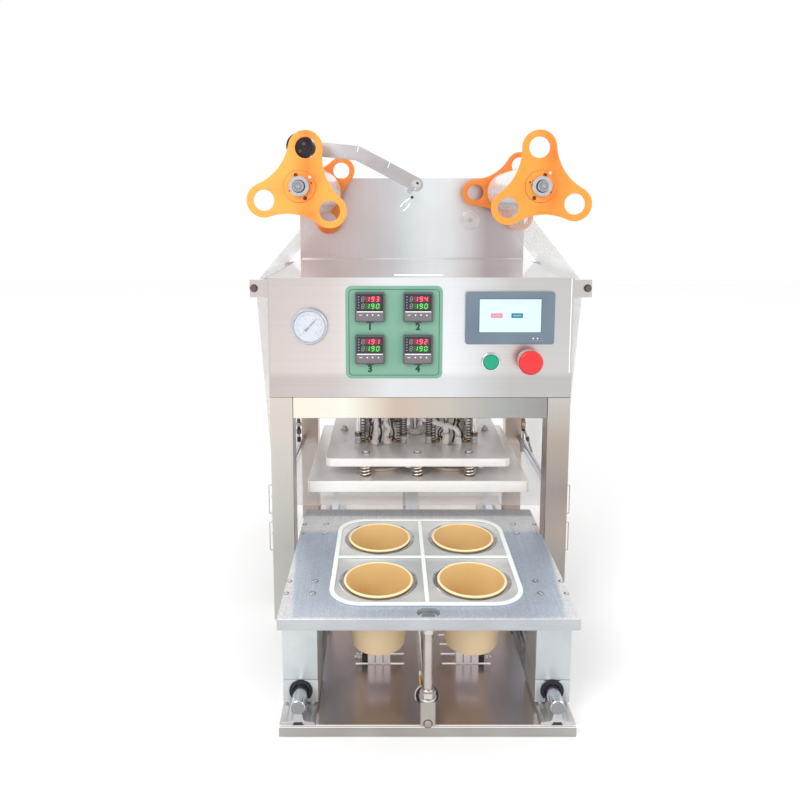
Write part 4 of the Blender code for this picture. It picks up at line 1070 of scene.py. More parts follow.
def gasket():
    """Silicone seal with four openings, and the pane that shows in each of them."""
    top = box("tray_plate")[1].z
    low, high, centre = box("tray_gasket")
    seal, panes = Solid("tray_seal"), Solid("tray_panes")
    half, radius = (high.x - low.x) / 2, 38
    inner = half - 7
    outlines = [rounded((-half, centre.y - half), (half, centre.y + half), 45, 16)]
    corner = arc((inner - radius, inner - radius), radius, 0, 90, 16) + [(3, inner), (3, 3), (inner, 3)]
    for sx in (-1, 1):
        for sy in (-1, 1):
            pane = [(sx * x, centre.y + sy * y) for x, y in corner]
            outlines.append(pane)
            spot = Vector((sx * half / 2, centre.y + sy * half / 2))
            seat = min(CUP_CENTRES, key=lambda cup: (cup.xy - spot).length)
            panes.flat(PANE_METAL, [pane, circle((seat.x, seat.y), 56.4, 96)], top - 0.2, top + 0.12)
    panes.made("tray", "machined_aluminium")
    seal.flat(SILICONE, outlines, low.z, high.z, 0.9)
    seal.made("tray", "white_silicone", "tray_gasket")


def flush_screw(solid, place, radius):
    """Countersunk screw, level with the face it sits in."""
    r = radius
    head = [(0, -0.1), (r * 0.4, -0.1), (r * 0.45, 0.35), (r * 0.85, 0.35), (r, 0.1), (r, -0.3), (0, -0.3)]
    rim = [(r, 0.12), (r + 0.6, 0.12), (r + 0.6, -0.2), (r, -0.2), (r, 0.12)]
    solid.turned(CHROME, head, place, (0, 0, 1), 24)
    solid.turned(DARK_STEEL, rim, place, (0, 0, 1), 24)


def cups():
    for number in range(1, 5):
        node = "cup_" + str(number)
        low, high, centre = box(node)
        rim = high.x - centre.x
        neck, foot = rim - 2.4, 38
        floor = low.z + 3
        top = high.z
        profile = [(0, floor), (foot - 2.6, floor), (foot - 1, floor + 1.4), (neck - 1.1, top - 1.0),
                   (neck - 0.4, top - 0.2), (rim - 1.6, top), (rim - 0.4, top - 0.8), (rim, top - 1.7),
                   (rim - 0.3, top - 2.6), (rim - 1.2, top - 2.95), (neck, top - 2.9),
                   (foot + 0.3, low.z + 6), (foot, low.z + 1), (foot - 0.5, low.z), (foot - 1.6, low.z),
                   (foot - 1.8, low.z + 2), (0, low.z + 2)]
        marks = [0] * 3 + [2] * 6 + [1] * 7
        solid = Solid("paper_" + node)
        solid.add(lathe(profile, (centre.x, centre.y, 0), (0, 0, 1), 96, marks), CUP_INSIDE, CUP_OUTSIDE,
                  CUP_RIM)
        seam(solid, centre, foot, neck, low.z, top, 118 + 97 * (number - 1))
        solid.made("tray", "cup_paper", node)


def seam(solid, centre, foot, neck, bottom, top, angle):
    """Glued edge of the cup's wall, a fine raised line inside and outside."""
    for shift, inset, look in ((6, 0.5, CUP_OUTSIDE), (0, -1.12, CUP_SEAM)):
        shape = bmesh.new()
        rows = []
        for z, radius in ((bottom + 8, foot), (top - 5, neck - 0.2)):
            row = []
            for turn, reach in ((-0.5, -0.2), (0, 0), (0.5, -0.2), (0, -0.4)):
                turned = math.radians(angle + shift + turn)
                out = radius + inset + (reach if inset > 0 else -reach)
                spot = (centre.x + out * math.cos(turned), centre.y + out * math.sin(turned), z)
                row.append(shape.verts.new(Vector(spot) * MM))
            rows.append(row)
        for k in range(4):
            shape.faces.new((rows[0][k], rows[0][(k + 1) % 4], rows[1][(k + 1) % 4], rows[1][k]))
        shape.faces.new(rows[0][::-1])
        shape.faces.new(rows[1])
        bmesh.ops.recalc_face_normals(shape, faces=shape.faces)
        solid.add(shape, look)


def slide_legs():
    for name, side in SIDES:
        for row in ("front", "rear"):
            node = "slide_leg_" + row + "_" + name
            low, high, _ = box(node)
            axis_x, axis_z = side * 174, RAIL_Z
            split = 57.5
            solid = Solid("leg_" + row + "_" + name)
            solid.add(slab((low.x, low.y, split + 0.35), high, 1.0, 3), LEG_METAL)
            bore, slot = 10.6, 8.8
            meet = math.degrees(math.acos(slot / bore))
            outline = [(low.x, low.z), (axis_x - slot, low.z)]
            outline += arc((axis_x, axis_z), bore, 180 + meet, -meet, 28)
            outline += [(axis_x + slot, low.z), (high.x, low.z), (high.x, split), (low.x, split)]
            solid.panel(LEG_METAL, [outline], low.y, high.y, 0.6)
            for y, out in ((low.y, -1), (high.y, 1)):
                solid.add(seal_ring(axis_x, axis_z, y, out), RUBBER)
            if side > 0:
                solid.block(DARK_STEEL, (axis_x - 11, low.y - 0.15, split - 1.2),
                            (axis_x + 11, low.y + 0.3, split))
            for y in (low.y + 14, high.y - 14):
                socket_screw(solid, (high.x if side > 0 else low.x, y, 100), (side, 0, 0), 2.6, 0.3)
            solid.made("tray", "machined_aluminium", node)


def seal_ring(x, z, y, out):
    """Rubber seal round a shaft, open at the bottom, on the end face of a leg's bearing."""
    start, end = 270 - 44, 44 - 90
    ring = arc((x, z), 16.2, start, end, 36) + arc((x, z), 10.8, end, start, 36)
    return plate([ring], *sorted((y - out * 0.5, y + out * 1.4)), 0.4, upright=True)


def drive_post():
    """Post that links the tray to the cylinder's rod, with its lock nuts and rubber stop."""
    low, high, _ = box("drive_post")
    solid = Solid("drive_post_parts", (0, DRIVE_Y, 0))
    solid.block(BLOCK_GREY, (-10, -10, low.z), (10, 12, 53.6), 0.8)
    for look, radius, bottom, top, chamfer, sides in (
            (ROD_STEEL, 6.4, 53, high.z, 0, ROUND), (BOLT_STEEL, 11.6, 53.8, 56.4, 0.5, ROUND),
            (BOLT_STEEL, 10.8, 56.6, 64.5, 0.9, 6), (ROD_STEEL, 8.4, 64.6, 68.4, 0.8, ROUND),
            (BOLT_STEEL, 10.6, 148.6, high.z - 0.2, 1.2, 6)):
        solid.rod(look, radius, (0, 0, bottom), (0, 0, top), chamfer, sides)
    solid.rod(CHROME, 6, (0, 5, ROD_Z), (0, 405, ROD_Z))
    back, level = 12.1, 47
    stop = [(11.4, 0), (14.6, 0), (15.4, 0.8), (15.4, 1.8), (14.6, 2.6), (11.4, 2.6), (11.4, 0)]
    solid.turned(RUBBER, stop, (0, back, level))
    solid.pipe(BOLT_STEEL, 6.2, 11.2, (0, back, level), (0, back + 2.4, level))
    clip = arc((0, level), 17.2, 118, 205, 16) + arc((0, level), 15.6, 205, 118, 16)
    solid.panel(BOLT_STEEL, [clip], DRIVE_Y + back, DRIVE_Y + back + 2.6, 0.3)
    solid.rod(BRASS, 2.8, (-8, back + 3, 62), (-9, back + 5, 74), 0.4, 6)
    solid.rod(BOLT_STEEL, 1.9, (-9, back + 5, 72), (-9.6, back + 6, 80), 0.4)
    solid.rod(DARK_STEEL, 6.4, (0, -9.6, 22.6), (0, -10.3, 22.6), 0.2)
    socket_screw(solid, (0, -10, 22.6), (0, -1, 0), 4.6, 1.2, BLOCK_GREY)
    solid.made("tray", "chromed_steel", "drive_post")


def rails():
    for side in ("left", "right"):
        node = "rail_" + side
        low, high, centre = box(node)
        x, foot = centre.x, low.z
        half = [(8, 0), (22.5, 0), (22.5, 3.6), (19, 5), (15, 4.6), (14, 5.4), (9.4, 5.8), (6.8, 9),
                (5.4, 16.5)]
        right = [(x + u, foot + v) for u, v in half]
        left = [(x - u, foot + v) for u, v in reversed(half)]
        notch = [(x - 5, foot + 4.4), (x + 5, foot + 4.4)]
        solid = Solid("shaft_rail_" + side)
        solid.panel(RAIL_METAL, [right + left + notch], low.y + 1, high.y, 0.4)
        solid.rod(SHAFT_STEEL, 10, (x, low.y + 0.3, RAIL_Z), (x, high.y, RAIL_Z), 0.9)
        solid.rod(END_GREY, 9.2, (x, low.y, RAIL_Z), (x, low.y + 1, RAIL_Z), 0.2)
        solid.block(BLACK, (x - 7.6, low.y + 1.2, foot), (x + 7.6, low.y + 8, foot + 4.5))
        y = low.y + 40
        while y < high.y:
            for across in (-15.5, 15.5):
                socket_screw(solid, (x + across, y, foot + 5), (0, 0, 1), 3.4, 3)
            y += 120
        solid.made("frame", "rail_steel", node)


def tray_cylinder():
    low, high, _ = box("tray_cylinder")
    z = ROD_Z
    solid = Solid("tray_cylinder_parts")
    solid.pipe(RAIL_METAL, 6.4, 15.6, (0, low.y + 8, z), (0, high.y - 8, z))
    for y0, y1 in ((low.y, low.y + 22), (high.y - 22, high.y)):
        outline = rounded((-18, low.z), (18, high.z), 3)
        shape = plate([outline, circle((0, z), 6.4)], y0, y1, 0.6, upright=True)
        solid.add(shape, PLATE_METAL)
        solid.rod(BRASS, 4.5, (9, (y0 + y1) / 2, high.z - 0.5), (9, (y0 + y1) / 2, high.z + 5), 0.4, 6)
    solid.rod(BOLT_STEEL, 6, (0, high.y - 15, z), (0, high.y - 0.4, z))
    solid.made("frame", "machined_aluminium", "tray_cylinder")


def ejectors():
    """Short cylinders at both sides of the rails, with the bars they lift."""
    groove, deep = 1.4, 1.2
    for name, side in SIDES:
        low, high, centre = box("ejector_" + name)
        x0, x1, y0, y1 = low.x, high.x, low.y, high.y
        solid = Solid("ejector_body_" + name, (centre.x, y0, low.z))
        outline = [(x0, y0)]
        for u in (-6, 6):
            left, right = centre.x + u - groove, centre.x + u + groove
            outline += [(left, y0), (left, y0 + deep), (right, y0 + deep), (right, y0)]
        outline += [(x1, y0), (x1, y1), (x0, y1)]
        solid.flat(BLOCK_METAL, [outline, circle((centre.x, centre.y), 8.4, 40)], low.z, high.z, 0.5)
        # Painted shade: a dark strip at the bottom of each groove.
        for u in (-6, 6):
            solid.block(DARK_STEEL, (u - 0.5, deep - 0.2, 2), (u + 0.5, deep + 0.4, high.z - low.z - 2))
        face = side * (x1 - x0) / 2
        near, far = sorted((face - side * 0.5, face + side * 9))
        solid.block(BLACK, (near, 2, 2), (far, 12, 14.5), 0.8)
        for start, end, radius in ((9, 11, 2.2), (11, 15, 4.0), (15.4, 17, 2.2), (17, 21, 3.4)):
            solid.rod(BOLT_STEEL, radius, (face + side * start, 6, 10), (face + side * end, 6, 10), 0.4, 6)
        solid.made("frame", "machined_aluminium", "ejector_" + name)

        low, high, middle = box("lifter_" + name)
        lifter = Solid("lifter_bar_" + name)
        lifter.block(PLATE_METAL, (low.x, low.y, 56), high, 1.2)
        lifter.rod(CHROME, 8, (middle.x, middle.y, low.z), (middle.x, middle.y, 57), 0.5)
        for y in (low.y + 12, high.y - 12):
            flush_screw(lifter, (middle.x, y, high.z), 3)
        lifter.made("lifter_" + name, "machined_aluminium", "lifter_" + name)


# ---------------------------------------------------------------- press head

HEAD_CENTRES = [box("sealing_head_" + str(n))[2] for n in range(1, 5)]


def head_plates():
    low, high, middle = box("head_upper_plate")
    top, bottom = PLATE_TOP, low.z
    half_y = (high.y - low.y) / 2
    outlines = [rounded((low.x, middle.y - half_y), (high.x, middle.y + half_y), 12)]
    outlines += [circle((c.x, c.y), 14) for c in HEAD_CENTRES]
    sheet = Solid("upper_plate")
    sheet.flat(PLATE_METAL, outlines, bottom, top, 0.8)
    # Painted light on the plate's upright faces.
    edge_look(sheet.made("head", "machined_aluminium", "head_upper_plate"), PLATE_EDGE_PAINTED_LIGHT)
    solid = Solid("press_rods")
    solid.rod(CHROME, 10, (0, middle.y, bottom + 5), (0, middle.y, high.z), 1)
    solid.rod(BOLT_STEEL, 19, (0, middle.y, top), (0, middle.y, top + 12), 1.2, 6)
    for side in (-1, 1):
        x = side * 100
        solid.rod(CHROME, 8, (x, middle.y, bottom + 5), (x, middle.y, 430), 0.8)
        solid.turned(BOLT_STEEL, [(8, 0), (17, 0), (17, 6), (12, 7), (11.4, 16), (8, 16), (8, 0)],
                     (x, middle.y, top), (0, 0, 1))
        dome_nut(solid, (side * 141, middle.y + 14, top))
    solid.made("head", "chromed_steel")

    low, high, middle = box("head_lower_plate")
    outlines = [rounded((low.x, low.y), (high.x, high.y), 5, 6)]
    outlines += [circle((c.x, c.y), 54.5, 96) for c in HEAD_CENTRES]
    sheet = Solid("lower_plate")
    sheet.flat(PLATE_METAL, outlines, low.z, high.z, 0.9)
    # Painted light on the plate's upright faces.
    edge_look(sheet.made("press_plate", "machined_aluminium", "head_lower_plate"), PLATE_EDGE_PAINTED_LIGHT)
    solid = Solid("shoulder_bolts")
    for x in (-94, 0, 94):
        for y in (SPRING_FRONT, 2 * middle.y - SPRING_FRONT):
            solid.rod(DARK_STEEL, 4, (x, y, high.z - 1), (x, y, high.z + 8.4), 0.6)
            solid.rod(DARK_STEEL, 10, (x, y, high.z), (x, y, high.z + 0.9), 0.2)
    solid.made("press_plate", "chromed_steel")
    solid = Solid("plate_screws")
    for x in (-94, 0, 94):
        for y in (106, 2 * middle.y - 106):
            solid.rod(DARK_STEEL, 7, (x, y, 262.9), (x, y, 263.8), 0.2)
            socket_screw(solid, (x, y, 263.7), (0, 0, 1), 5.6, 3, BOLT_LIGHT)
    solid.made("head", "chromed_steel")


def plate_springs():
    """Springs between the two plates, each with its own mesh; the real springs shorten as the lower plate meets
    the tray.
    """
    lower, upper = box("head_lower_plate"), box("head_upper_plate")
    low, high = lower[1].z + 1.0, upper[0].z - 0.1
    middle = lower[2].y
    for row, y in (("front", SPRING_FRONT), ("rear", 2 * middle - SPRING_FRONT)):
        for number, x in enumerate((-94, 0, 94), 1):
            solid = Solid("plate_spring_" + row + "_" + str(number))
            solid.add(spring((x, y), 8.5, low, high, 4, 1.8), SPRING_STEEL)
            obj = solid.made("head", "rail_steel")
            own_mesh(obj)


def dome_nut(solid, place):
    """Cap nut on a washer."""
    place = Vector(place)
    solid.rod(BOLT_STEEL, 8, place, place + Vector((0, 0, 1.4)), 0.3, 40)
    solid.rod(BOLT_STEEL, 6, place + Vector((0, 0, 1.4)), place + Vector((0, 0, 6)), 0.6, 6)
    profile = [(0, 5.6), (5, 5.6), (4.6, 7.6), (3.4, 9.2), (1.6, 10), (0, 10.2)]
    solid.turned(BOLT_STEEL, profile, place, (0, 0, 1), 32)


def sealing_heads():
    """Heated discs, each hung from the upper plate on two nutted studs."""
    profile = [(0, 0), (30, 0), (30, 1), (46.5, 1), (46.5, 0), (51.5, 0), (53, 1.2), (53, 22.6), (51.6, 24),
               (24, 24), (23.5, 26), (12, 26), (11, 33), (0, 33)]
    for number, c in enumerate(HEAD_CENTRES, 1):
        node = "sealing_head_" + str(number)
        low, high, _ = box(node)
        solid = Solid("heater_" + str(number), (c.x, c.y, 0))
        solid.turned(HEAD_BRASS, profile, (0, 0, low.z), (0, 0, 1), 96)
        for side in (-1, 1):
            u = side * 43
            solid.rod(BOLT_STEEL, 4, (u, 0, low.z + 20), (u, 0, high.z), 0.6, 40)
            solid.rod(BOLT_STEEL, 7, (u, 0, PLATE_TOP), (u, 0, PLATE_TOP + 1.4), 0.3, 40)
            for k, look in enumerate((BOLT_STEEL, BOLT_STEEL, DARK_STEEL)):
                foot = PLATE_TOP + 1.6 + 6.8 * k
                solid.rod(look, 6.9, (u, 0, foot), (u, 0, foot + 6.2), 0.6, 6)
            if side * c.x > 0:
                solid.pipe(CHROME, 4.2, 5.6, (u, 0, 288), (u, 0, 346))
            else:
                solid.add(spring((c.x + u, c.y), 5.6, 286, 322, 9, 1.0), DARK_STEEL)
                solid.rod(BOLT_STEEL, 6.6, (u, 0, 322.5), (u, 0, 328), 0.6, 6)
            solid.add(spring((c.x + side * 34, c.y + 10), 4.4, PLATE_TOP, 330, 13, 0.9), DARK_STEEL)
        for u in (-47, 47):
            solid.block(SILICONE, (u - 5, -30, 240.6), (u + 5, -22, 247.6), 1)
        if c.y < FRONT_ROW:
            u, v = (-17 if c.x < 0 else 114) - c.x, 92 - c.y
            solid.block(SILICONE, (u - 5, v - 6, 240.4), (u + 5, v + 6, 247), 2)
            solid.rod(BOLT_STEEL, 2, (u, v, 246), (u, v, 248.5))
        solid.made("head", "heater_brass", node)


def sleeve(points, radius, flare, seed):
    """Wrinkled woven sleeve along a smooth line, flared where it starts."""
    steps, sides = 64, 20
    path = smooth_line(points, steps)
    shape, rings = bmesh.new(), []
    for i, place in enumerate(path):
        ahead = path[min(i + 1, steps)] - path[max(i - 1, 0)]
        turn = ahead.to_track_quat("Z", "Y")
        share = i / steps
        swell = radius * (1 + flare * math.exp(-share * 14))
        ring = []
        for k in range(sides):
            angle = math.tau * k / sides
            spot = Vector((math.cos(angle), math.sin(angle), 0))
            fold = noise.noise(Vector((spot.x * 1.6 + seed, spot.y * 1.6, share * 22)))
            crease = noise.noise(Vector((seed * 2.3, share * 52, spot.x * 0.8)))
            reach = swell * (1 + 0.34 * fold + 0.26 * crease)
            ring.append(shape.verts.new((place + turn @ (spot * reach)) * MM))
        rings.append(ring)
    for first, second in zip(rings, rings[1:]):
        for k in range(sides):
            shape.faces.new((first[k], first[(k + 1) % sides], second[(k + 1) % sides], second[k]))
    shape.faces.new(rings[0][::-1])
    shape.faces.new(rings[-1])
    bmesh.ops.recalc_face_normals(shape, faces=shape.faces)
    return shape


def smooth_line(points, steps):
    """Evenly spaced places on a smooth curve through the given points."""
    points = [Vector(p) for p in points]
    ends = [2 * points[0] - points[1]] + points + [2 * points[-1] - points[-2]]
    path = []
    spans = len(points) - 1
    for i in range(steps + 1):
        along = min(i / steps * spans, spans - MERGE)
        k = int(along)
        t = along - k
        a, b, c, d = ends[k:k + 4]
        path.append(0.5 * ((2 * b) + (c - a) * t + (2 * a - 5 * b + 4 * c - d) * t * t
                           + (3 * b - a - 3 * c + d) * t ** 3))
    return path


def heater_leads():
    """Sleeved heater leads and dark sensor wires, from each head up through its window."""
    for number, c in enumerate(HEAD_CENTRES, 1):
        front = c.y < FRONT_ROW
        window_y = c.y + (7 if front else -7)
        solid = Solid("heater_leads_" + str(number))
        for side in (-1, 1):
            x = c.x + side * 11.7
            exit_x = c.x + side * 7
            if c.x > 0 and front:
                low_turn = 287 if side < 0 else 281
                line = [(x, c.y, 263.2), (x + 1, c.y, low_turn), (x - 6, c.y + 1, low_turn + 11),
                        (x - 26, c.y + 3, low_turn + 17), (x - 46, c.y + 5, low_turn + 25),
                        (x - 52, c.y + 8, low_turn + 42), (x - 26, c.y + 8, 364),
                        (exit_x - 2, window_y, 388), (exit_x, window_y, 422)]
            else:
                line = [(x, c.y, 263.2), (x - 1.5 * side, c.y, 278), (x + 3, c.y + 1, 291),
                        (x - 3 * side, c.y + 2, 304), (x - 1 * side, c.y + 3, 330), (exit_x, window_y, 362),
                        (exit_x, window_y, 422)]
            solid.add(sleeve(line, 4.3, 0.8, number * 3.1 + side), SLEEVE)
        for k in range(7):
            turn = math.radians(200 + 50 * k + 13 * number)
            x, y = c.x + 22 * math.cos(turn), c.y + 14 + 9 * math.sin(turn)
            sway = [noise.noise(Vector((number * 7.7, k * 3.3, level))) * 15 for level in range(4)]
            line = [(x, y, 263.5), (x + sway[0], y - 2, 279), (x + sway[1], y - 4, 294),
                    (x + sway[2], y - 4, 310), (x * 0.5 + c.x * 0.5 + sway[3] * 0.6, window_y + 4, 350),
                    (c.x + (k - 3) * 4, window_y + 11, 386), (c.x + (k - 3) * 4, window_y + 11, 420)]
            look = (WIRE_BROWN, BLACK, WIRE_GREY)[k % 3]
            solid.lead(look, 1.3 + 0.4 * (k % 2), line, 30)
        for side in (-1, 1):
            x = c.x + side * 27
            solid.rod(BRASS, 4.4, (x, c.y + 7, 263.2), (x, c.y + 7, 268), 0.6, 6)
            loop = [(x, c.y + 7, 267), (x - side * 4, c.y + 5, 274), (x - side * 12, c.y + 6, 272),
                    (c.x + side * 6, c.y + 10, 264)]
            solid.lead(WIRE_BROWN, 1.4, loop, 16)
        solid.made("head", "white_silicone")


# ---------------------------------------------------------------- film spools

def lobed(first_angle, centre):
    """Outline of three round lobes that flow into each other."""
    lobe, reach, waist = 28.5, 64, 46.5
    web_centre = (reach ** 2 - (waist - lobe) ** 2) / (reach - 2 * (waist - lobe))
    web = web_centre - waist
    to_web = math.degrees(math.atan2(web_centre * math.sin(math.radians(60)),
                                     web_centre * math.cos(math.radians(60)) - reach))
    outline = []
    for k in range(3):
        turn = first_angle + 120 * k
        outline += arc(around(centre, reach, turn), lobe, turn - to_web, turn + to_web, 30)
        outline += arc(around(centre, web_centre, turn + 60), web, turn + to_web + 180, turn + 300 - to_web,
                       14)[1:-1]
    return outline


def around(centre, radius, degrees):
    """Place at a distance and an angle from a centre."""
    return arc(centre, radius, degrees, degrees, 1)[0]


LOBE_ANGLES = {"left": (80.7, 45.0), "right": (93.3, 61.4)}
HUB_MARKS = {       # holes and screw of each hub, from its centre
    "left": {"dark": [(-5.7, 18.4), (9.1, -19.3)], "small": [(19.7, 5.7), (-16.5, -7.2)], "screw": (17, 15)},
    "right": {"dark": [(6, 18.5), (-11, -19)], "small": [(-18.5, 6.7), (15.8, -9)], "screw": (14, 22)},
}


def spool_disc(side, row, look, body):
    """Three-lobed flange with a hub ring on its outer face and a boss inside the film core."""
    shaft = box("spool_shaft_" + side)[2]
    x, z = hub = shaft.x, shaft.z
    front = row == "front"
    out, inner = DISC_FACES[row]
    outward = -1 if front else 1
    angle = LOBE_ANGLES[side][0 if front else 1]
    solid = Solid("flange_" + row + "_" + side, (x, out, z))
    lobes = [circle(around(hub, 64, angle + 120 * k), 17.4) for k in range(3)]
    solid.panel(look, [lobed(angle, hub), *lobes, circle(hub, 12)], out, inner, 0.9)
    marks = HUB_MARKS[side]
    rim = [circle(hub, 26, 96), circle(hub, 12)]
    rim += [circle((x + u, z + v), 3.4, 32) for u, v in marks["dark"]]
    rim += [circle((x + u, z + v), 1.5, 20) for u, v in marks["small"]]
    solid.panel(look, rim, out + outward * 1.8, out - outward * 0.3, 0.4)
    # Painted shade round the foot of the hub ring.
    solid.pipe(ORANGE_PAINTED_SHADE_LINE, 26.1, 26.8, (0, outward * -0.1, 0), (0, outward * 0.12, 0), 0)
    # Painted shade: a dark cone at the bottom of each hole.
    for kind, radius, sides in (("dark", 3.3, 24), ("small", 1.45, 16)):
        for u, v in marks[kind]:
            solid.turned(HOLE_PAINTED_SHADE, [(0, 0.1), (radius, 0)], (u, outward * 0.15, v), (0, outward, 0),
                         sides)
    u, v = marks["screw"]
    socket_screw(solid, (u, outward * 1.8, v), (0, outward, 0), 2.6, 1.2, BOLT_LIGHT)
    boss = [(12, 0), (19.4, 0), (19.4, 17), (18.4, 18), (12, 18), (12, 0)]
    solid.turned(look, boss, (0, inner - out + 0.1 * outward, 0), (0, -outward, 0))
    if front and side == "right":
        label = [[(x + u, z + v) for u, v in ((left, low), (right, low), (right, high), (left, high))]
                 for left, low, right, high in ((-15.5, -43, 17.5, -32), (-14.6, -42.1, 16.6, -32.9))]
        solid.panel(look, label, out - 0.35, out + 0.2)
    solid.made(body, "orange_plastic", "disc_" + row + "_" + side)


def spools():
    for side, body, pale in (("left", "supply_spool", (248, 164, 66)),
                             ("right", "takeup_spool", (240, 150, 54))):
        # Lit and shaded copies of the orange: front discs painted paler, rear discs painted deeper, and the two
        # spools a little apart.
        front = orange_plastic("orange_painted_lit_front_" + side, pale, (244, 116, 30), side)
        rear = orange_plastic("orange_painted_shade_rear_" + side, (236, 132, 44), (228, 104, 28), side)
        spool_disc(side, "front", front, body)
        spool_disc(side, "rear", rear, body)
        spool_shaft(side, body)
        film_roll(side, body)


def spool_shaft(side, body):
    node = "spool_shaft_" + side
    low, high, middle = box(node)
    solid = Solid("spindle_" + side)
    r, c, tip = 11.7, 16.5, 9
    profile = [(0, 3.2), (1.6, 2), (2.6, 0.3), (3, 0), (tip - 1, 0), (tip, 1), (tip, 11), (tip + 1.2, 11),
               (tip + 1.8, 9), (c - 0.8, 9), (c, 9.8), (c, 17.4), (c - 0.8, 18.2), (r, 18.2), (r, 397.8),
               (c - 0.8, 397.8), (c, 398.6), (c, 403.2), (c - 0.8, 404), (r, 404), (r, 421.5), (8, 421.5),
               (8, 434.4), (0, 434.4)]
    marks = [0, 0, 0, 1, 0, 0, 2, 2] + [0] * (len(profile) - 9)
    solid.add(lathe(profile, (middle.x, low.y, middle.z), (0, 1, 0), 96, marks), SHAFT_STEEL, END_GREY,
              DARK_STEEL)
    for turn in (55, 175):
        spot = around((middle.x, middle.z), c - 0.1, turn)
        axis = (math.cos(math.radians(turn)), 0, math.sin(math.radians(turn)))
        socket_screw(solid, (spot[0], low.y + 13.6, spot[1]), axis, 2.2, 0.5, DARK_STEEL)
    nut = high.y - 8
    solid.rod(BOLT_STEEL, 10.5, (middle.x, nut, middle.z), (middle.x, nut + 5, middle.z), 0.8, 6)
    solid.made(body, "chromed_steel", node)


def film_roll(side, body):
    """Film wound on its core, with slightly uneven layers on its ends."""
    node = "film_roll_" + side
    place, outer, length = round_node(node)
    core, layers, ease = 20, 7, 0.5
    solid = Solid("wound_film_" + side, place)
    profile = [(core + 3, 0.6)]
    for k in range(layers):
        radius = core + 3 + (outer - core - 3) * (k + 1) / layers
        depth = 0.6 if k % 2 else 0.15
        profile += [(radius - ease, depth), (min(radius, outer), depth + 0.2)]
    profile += [(outer, length - ease), (outer - ease, length), (core + 3, length), (core + 3, 0.6)]
    solid.turned(roll_look(side, place), profile, sides=96)
    solid.pipe(ROLL_CORE, core, core + 3, (0, 0.2, 0), (0, length - 0.2, 0))
    solid.made(body, "sealing_film", node)


def roll_look(side, middle):
    """Wound film: white, with fine rings on its ends and faint bands along it."""
    look = Look("wound_" + side, tone(232, 230, 228), 0.22, 0.0, Coat_Weight=0.4)
    mapping = look.node("ShaderNodeMapping", [("Vector", look.place)],
                        Location=(-middle.x * MM, 0, -middle.z * MM))
    rings = look.node("ShaderNodeTexWave", [("Vector", mapping.outputs[0])], Scale=120.0, Distortion=1.2,
                      Detail=2.0)
    rings.wave_type = "RINGS"
    rings.rings_direction = "Y"
    bands = look.noise(26.0, (0.2, 1, 0.2))
    base = look.mix(bands, tone(214, 211, 209), tone(246, 246, 246))
    shade = look.ramp(rings.outputs[0], [(0.2, 0.86), (0.7, 1)])
    look.colour(look.times(base, shade))
    look.roughness(bands, 0.14, 0.32)
    look.bump(rings.outputs[0], 0.04, 0.3)
    return look.material


# ---------------------------------------------------------------- film path

def tangent(first, first_radius, second, second_radius):
    """Angle of a travelling line's left normal between two circles."""
    step = Vector(second) - Vector(first)
    return math.atan2(step.y, step.x) + math.acos((second_radius - first_radius) / step.length)


def film_path():
    """Film centre line as (x, z, lift) points, where lift is how freely it may ripple there."""
    gap = 0.6
    stops = []
    for side, names in (("left", ("film_roll", "corner_roller", "lower_roller")),
                        ("right", ("lower_roller", "corner_roller", "film_roll"))):
        for name in names:
            low, high, middle = box(name + "_" + side)
            radius = (high.x - low.x) / 2 + gap
            stops.append(((middle.x, middle.z), -radius if name == "film_roll" else radius))
    normals = [tangent(a, ra, b, rb) for (a, ra), (b, rb) in zip(stops, stops[1:])]
    points = []
    for i, (centre, radius) in enumerate(stops):
        before = normals[max(i - 1, 0)]
        after = normals[min(i, len(normals) - 1)]
        if after < before - MERGE:
            after += math.tau
        turn_steps = 14 if after > before else 0
        bend = []
        for k in range(turn_steps + 1):
            angle = before + (after - before) * k / max(turn_steps, 1)
            bend.append((centre[0] - radius * math.cos(angle), centre[1] - radius * math.sin(angle), 0.0))
        if points:
            start, end = Vector(points[-1][:2]), Vector(bend[0][:2])
            span = (end - start).length
            count = max(int(span / 9), 2)
            for k in range(1, count):
                share = k / count
                spot = start.lerp(end, share)
                points.append((spot.x, spot.y, min(1.0, 4 * share, 4 * (1 - share))))
        points += bend
    return points


def film_sheet():
    """The film threaded from the supply roll, round the rollers and back up to the take-up roll."""
    low, high, _ = box("film_web")
    points = film_path()
    columns = 44
    shape = bmesh.new()
    rows = []
    length = 0.0
    for i, (x, z, lift) in enumerate(points):
        ahead, behind = points[min(i + 1, len(points) - 1)], points[max(i - 1, 0)]
        along = Vector((ahead[0] - behind[0], 0, ahead[1] - behind[1])).normalized()
        normal = Vector((-along.z, 0, along.x))
        flat = abs(along.z) < 0.1
        depth = (0.25 if flat else 0.9) * lift
        if i:
            length += math.dist(points[i - 1][:2], (x, z))
        row = []
        for k in range(columns + 1):
            y = low.y + (high.y - low.y) * k / columns
            wave = noise.noise(Vector((y * 0.022, length * 0.0008, 0.7)))
            wave += 0.5 * noise.noise(Vector((y * 0.06, length * 0.0016, 4.1)))
            row.append(shape.verts.new((Vector((x, y, z)) + normal * depth * wave / 1.5) * MM))
        rows.append(row)
    for first, second in zip(rows, rows[1:]):
        for k in range(columns):
            shape.faces.new((first[k], first[k + 1], second[k + 1], second[k]))
    bmesh.ops.solidify(shape, geom=shape.faces[:], thickness=0.1 * MM)
    bmesh.ops.recalc_face_normals(shape, faces=shape.faces)
    solid = Solid("sealing_film")
    solid.add(shape, FILM)
    obj = solid.made("frame", "sealing_film", "film_web", angle=60)


# ---------------------------------------------------------------- rollers, arm and motor

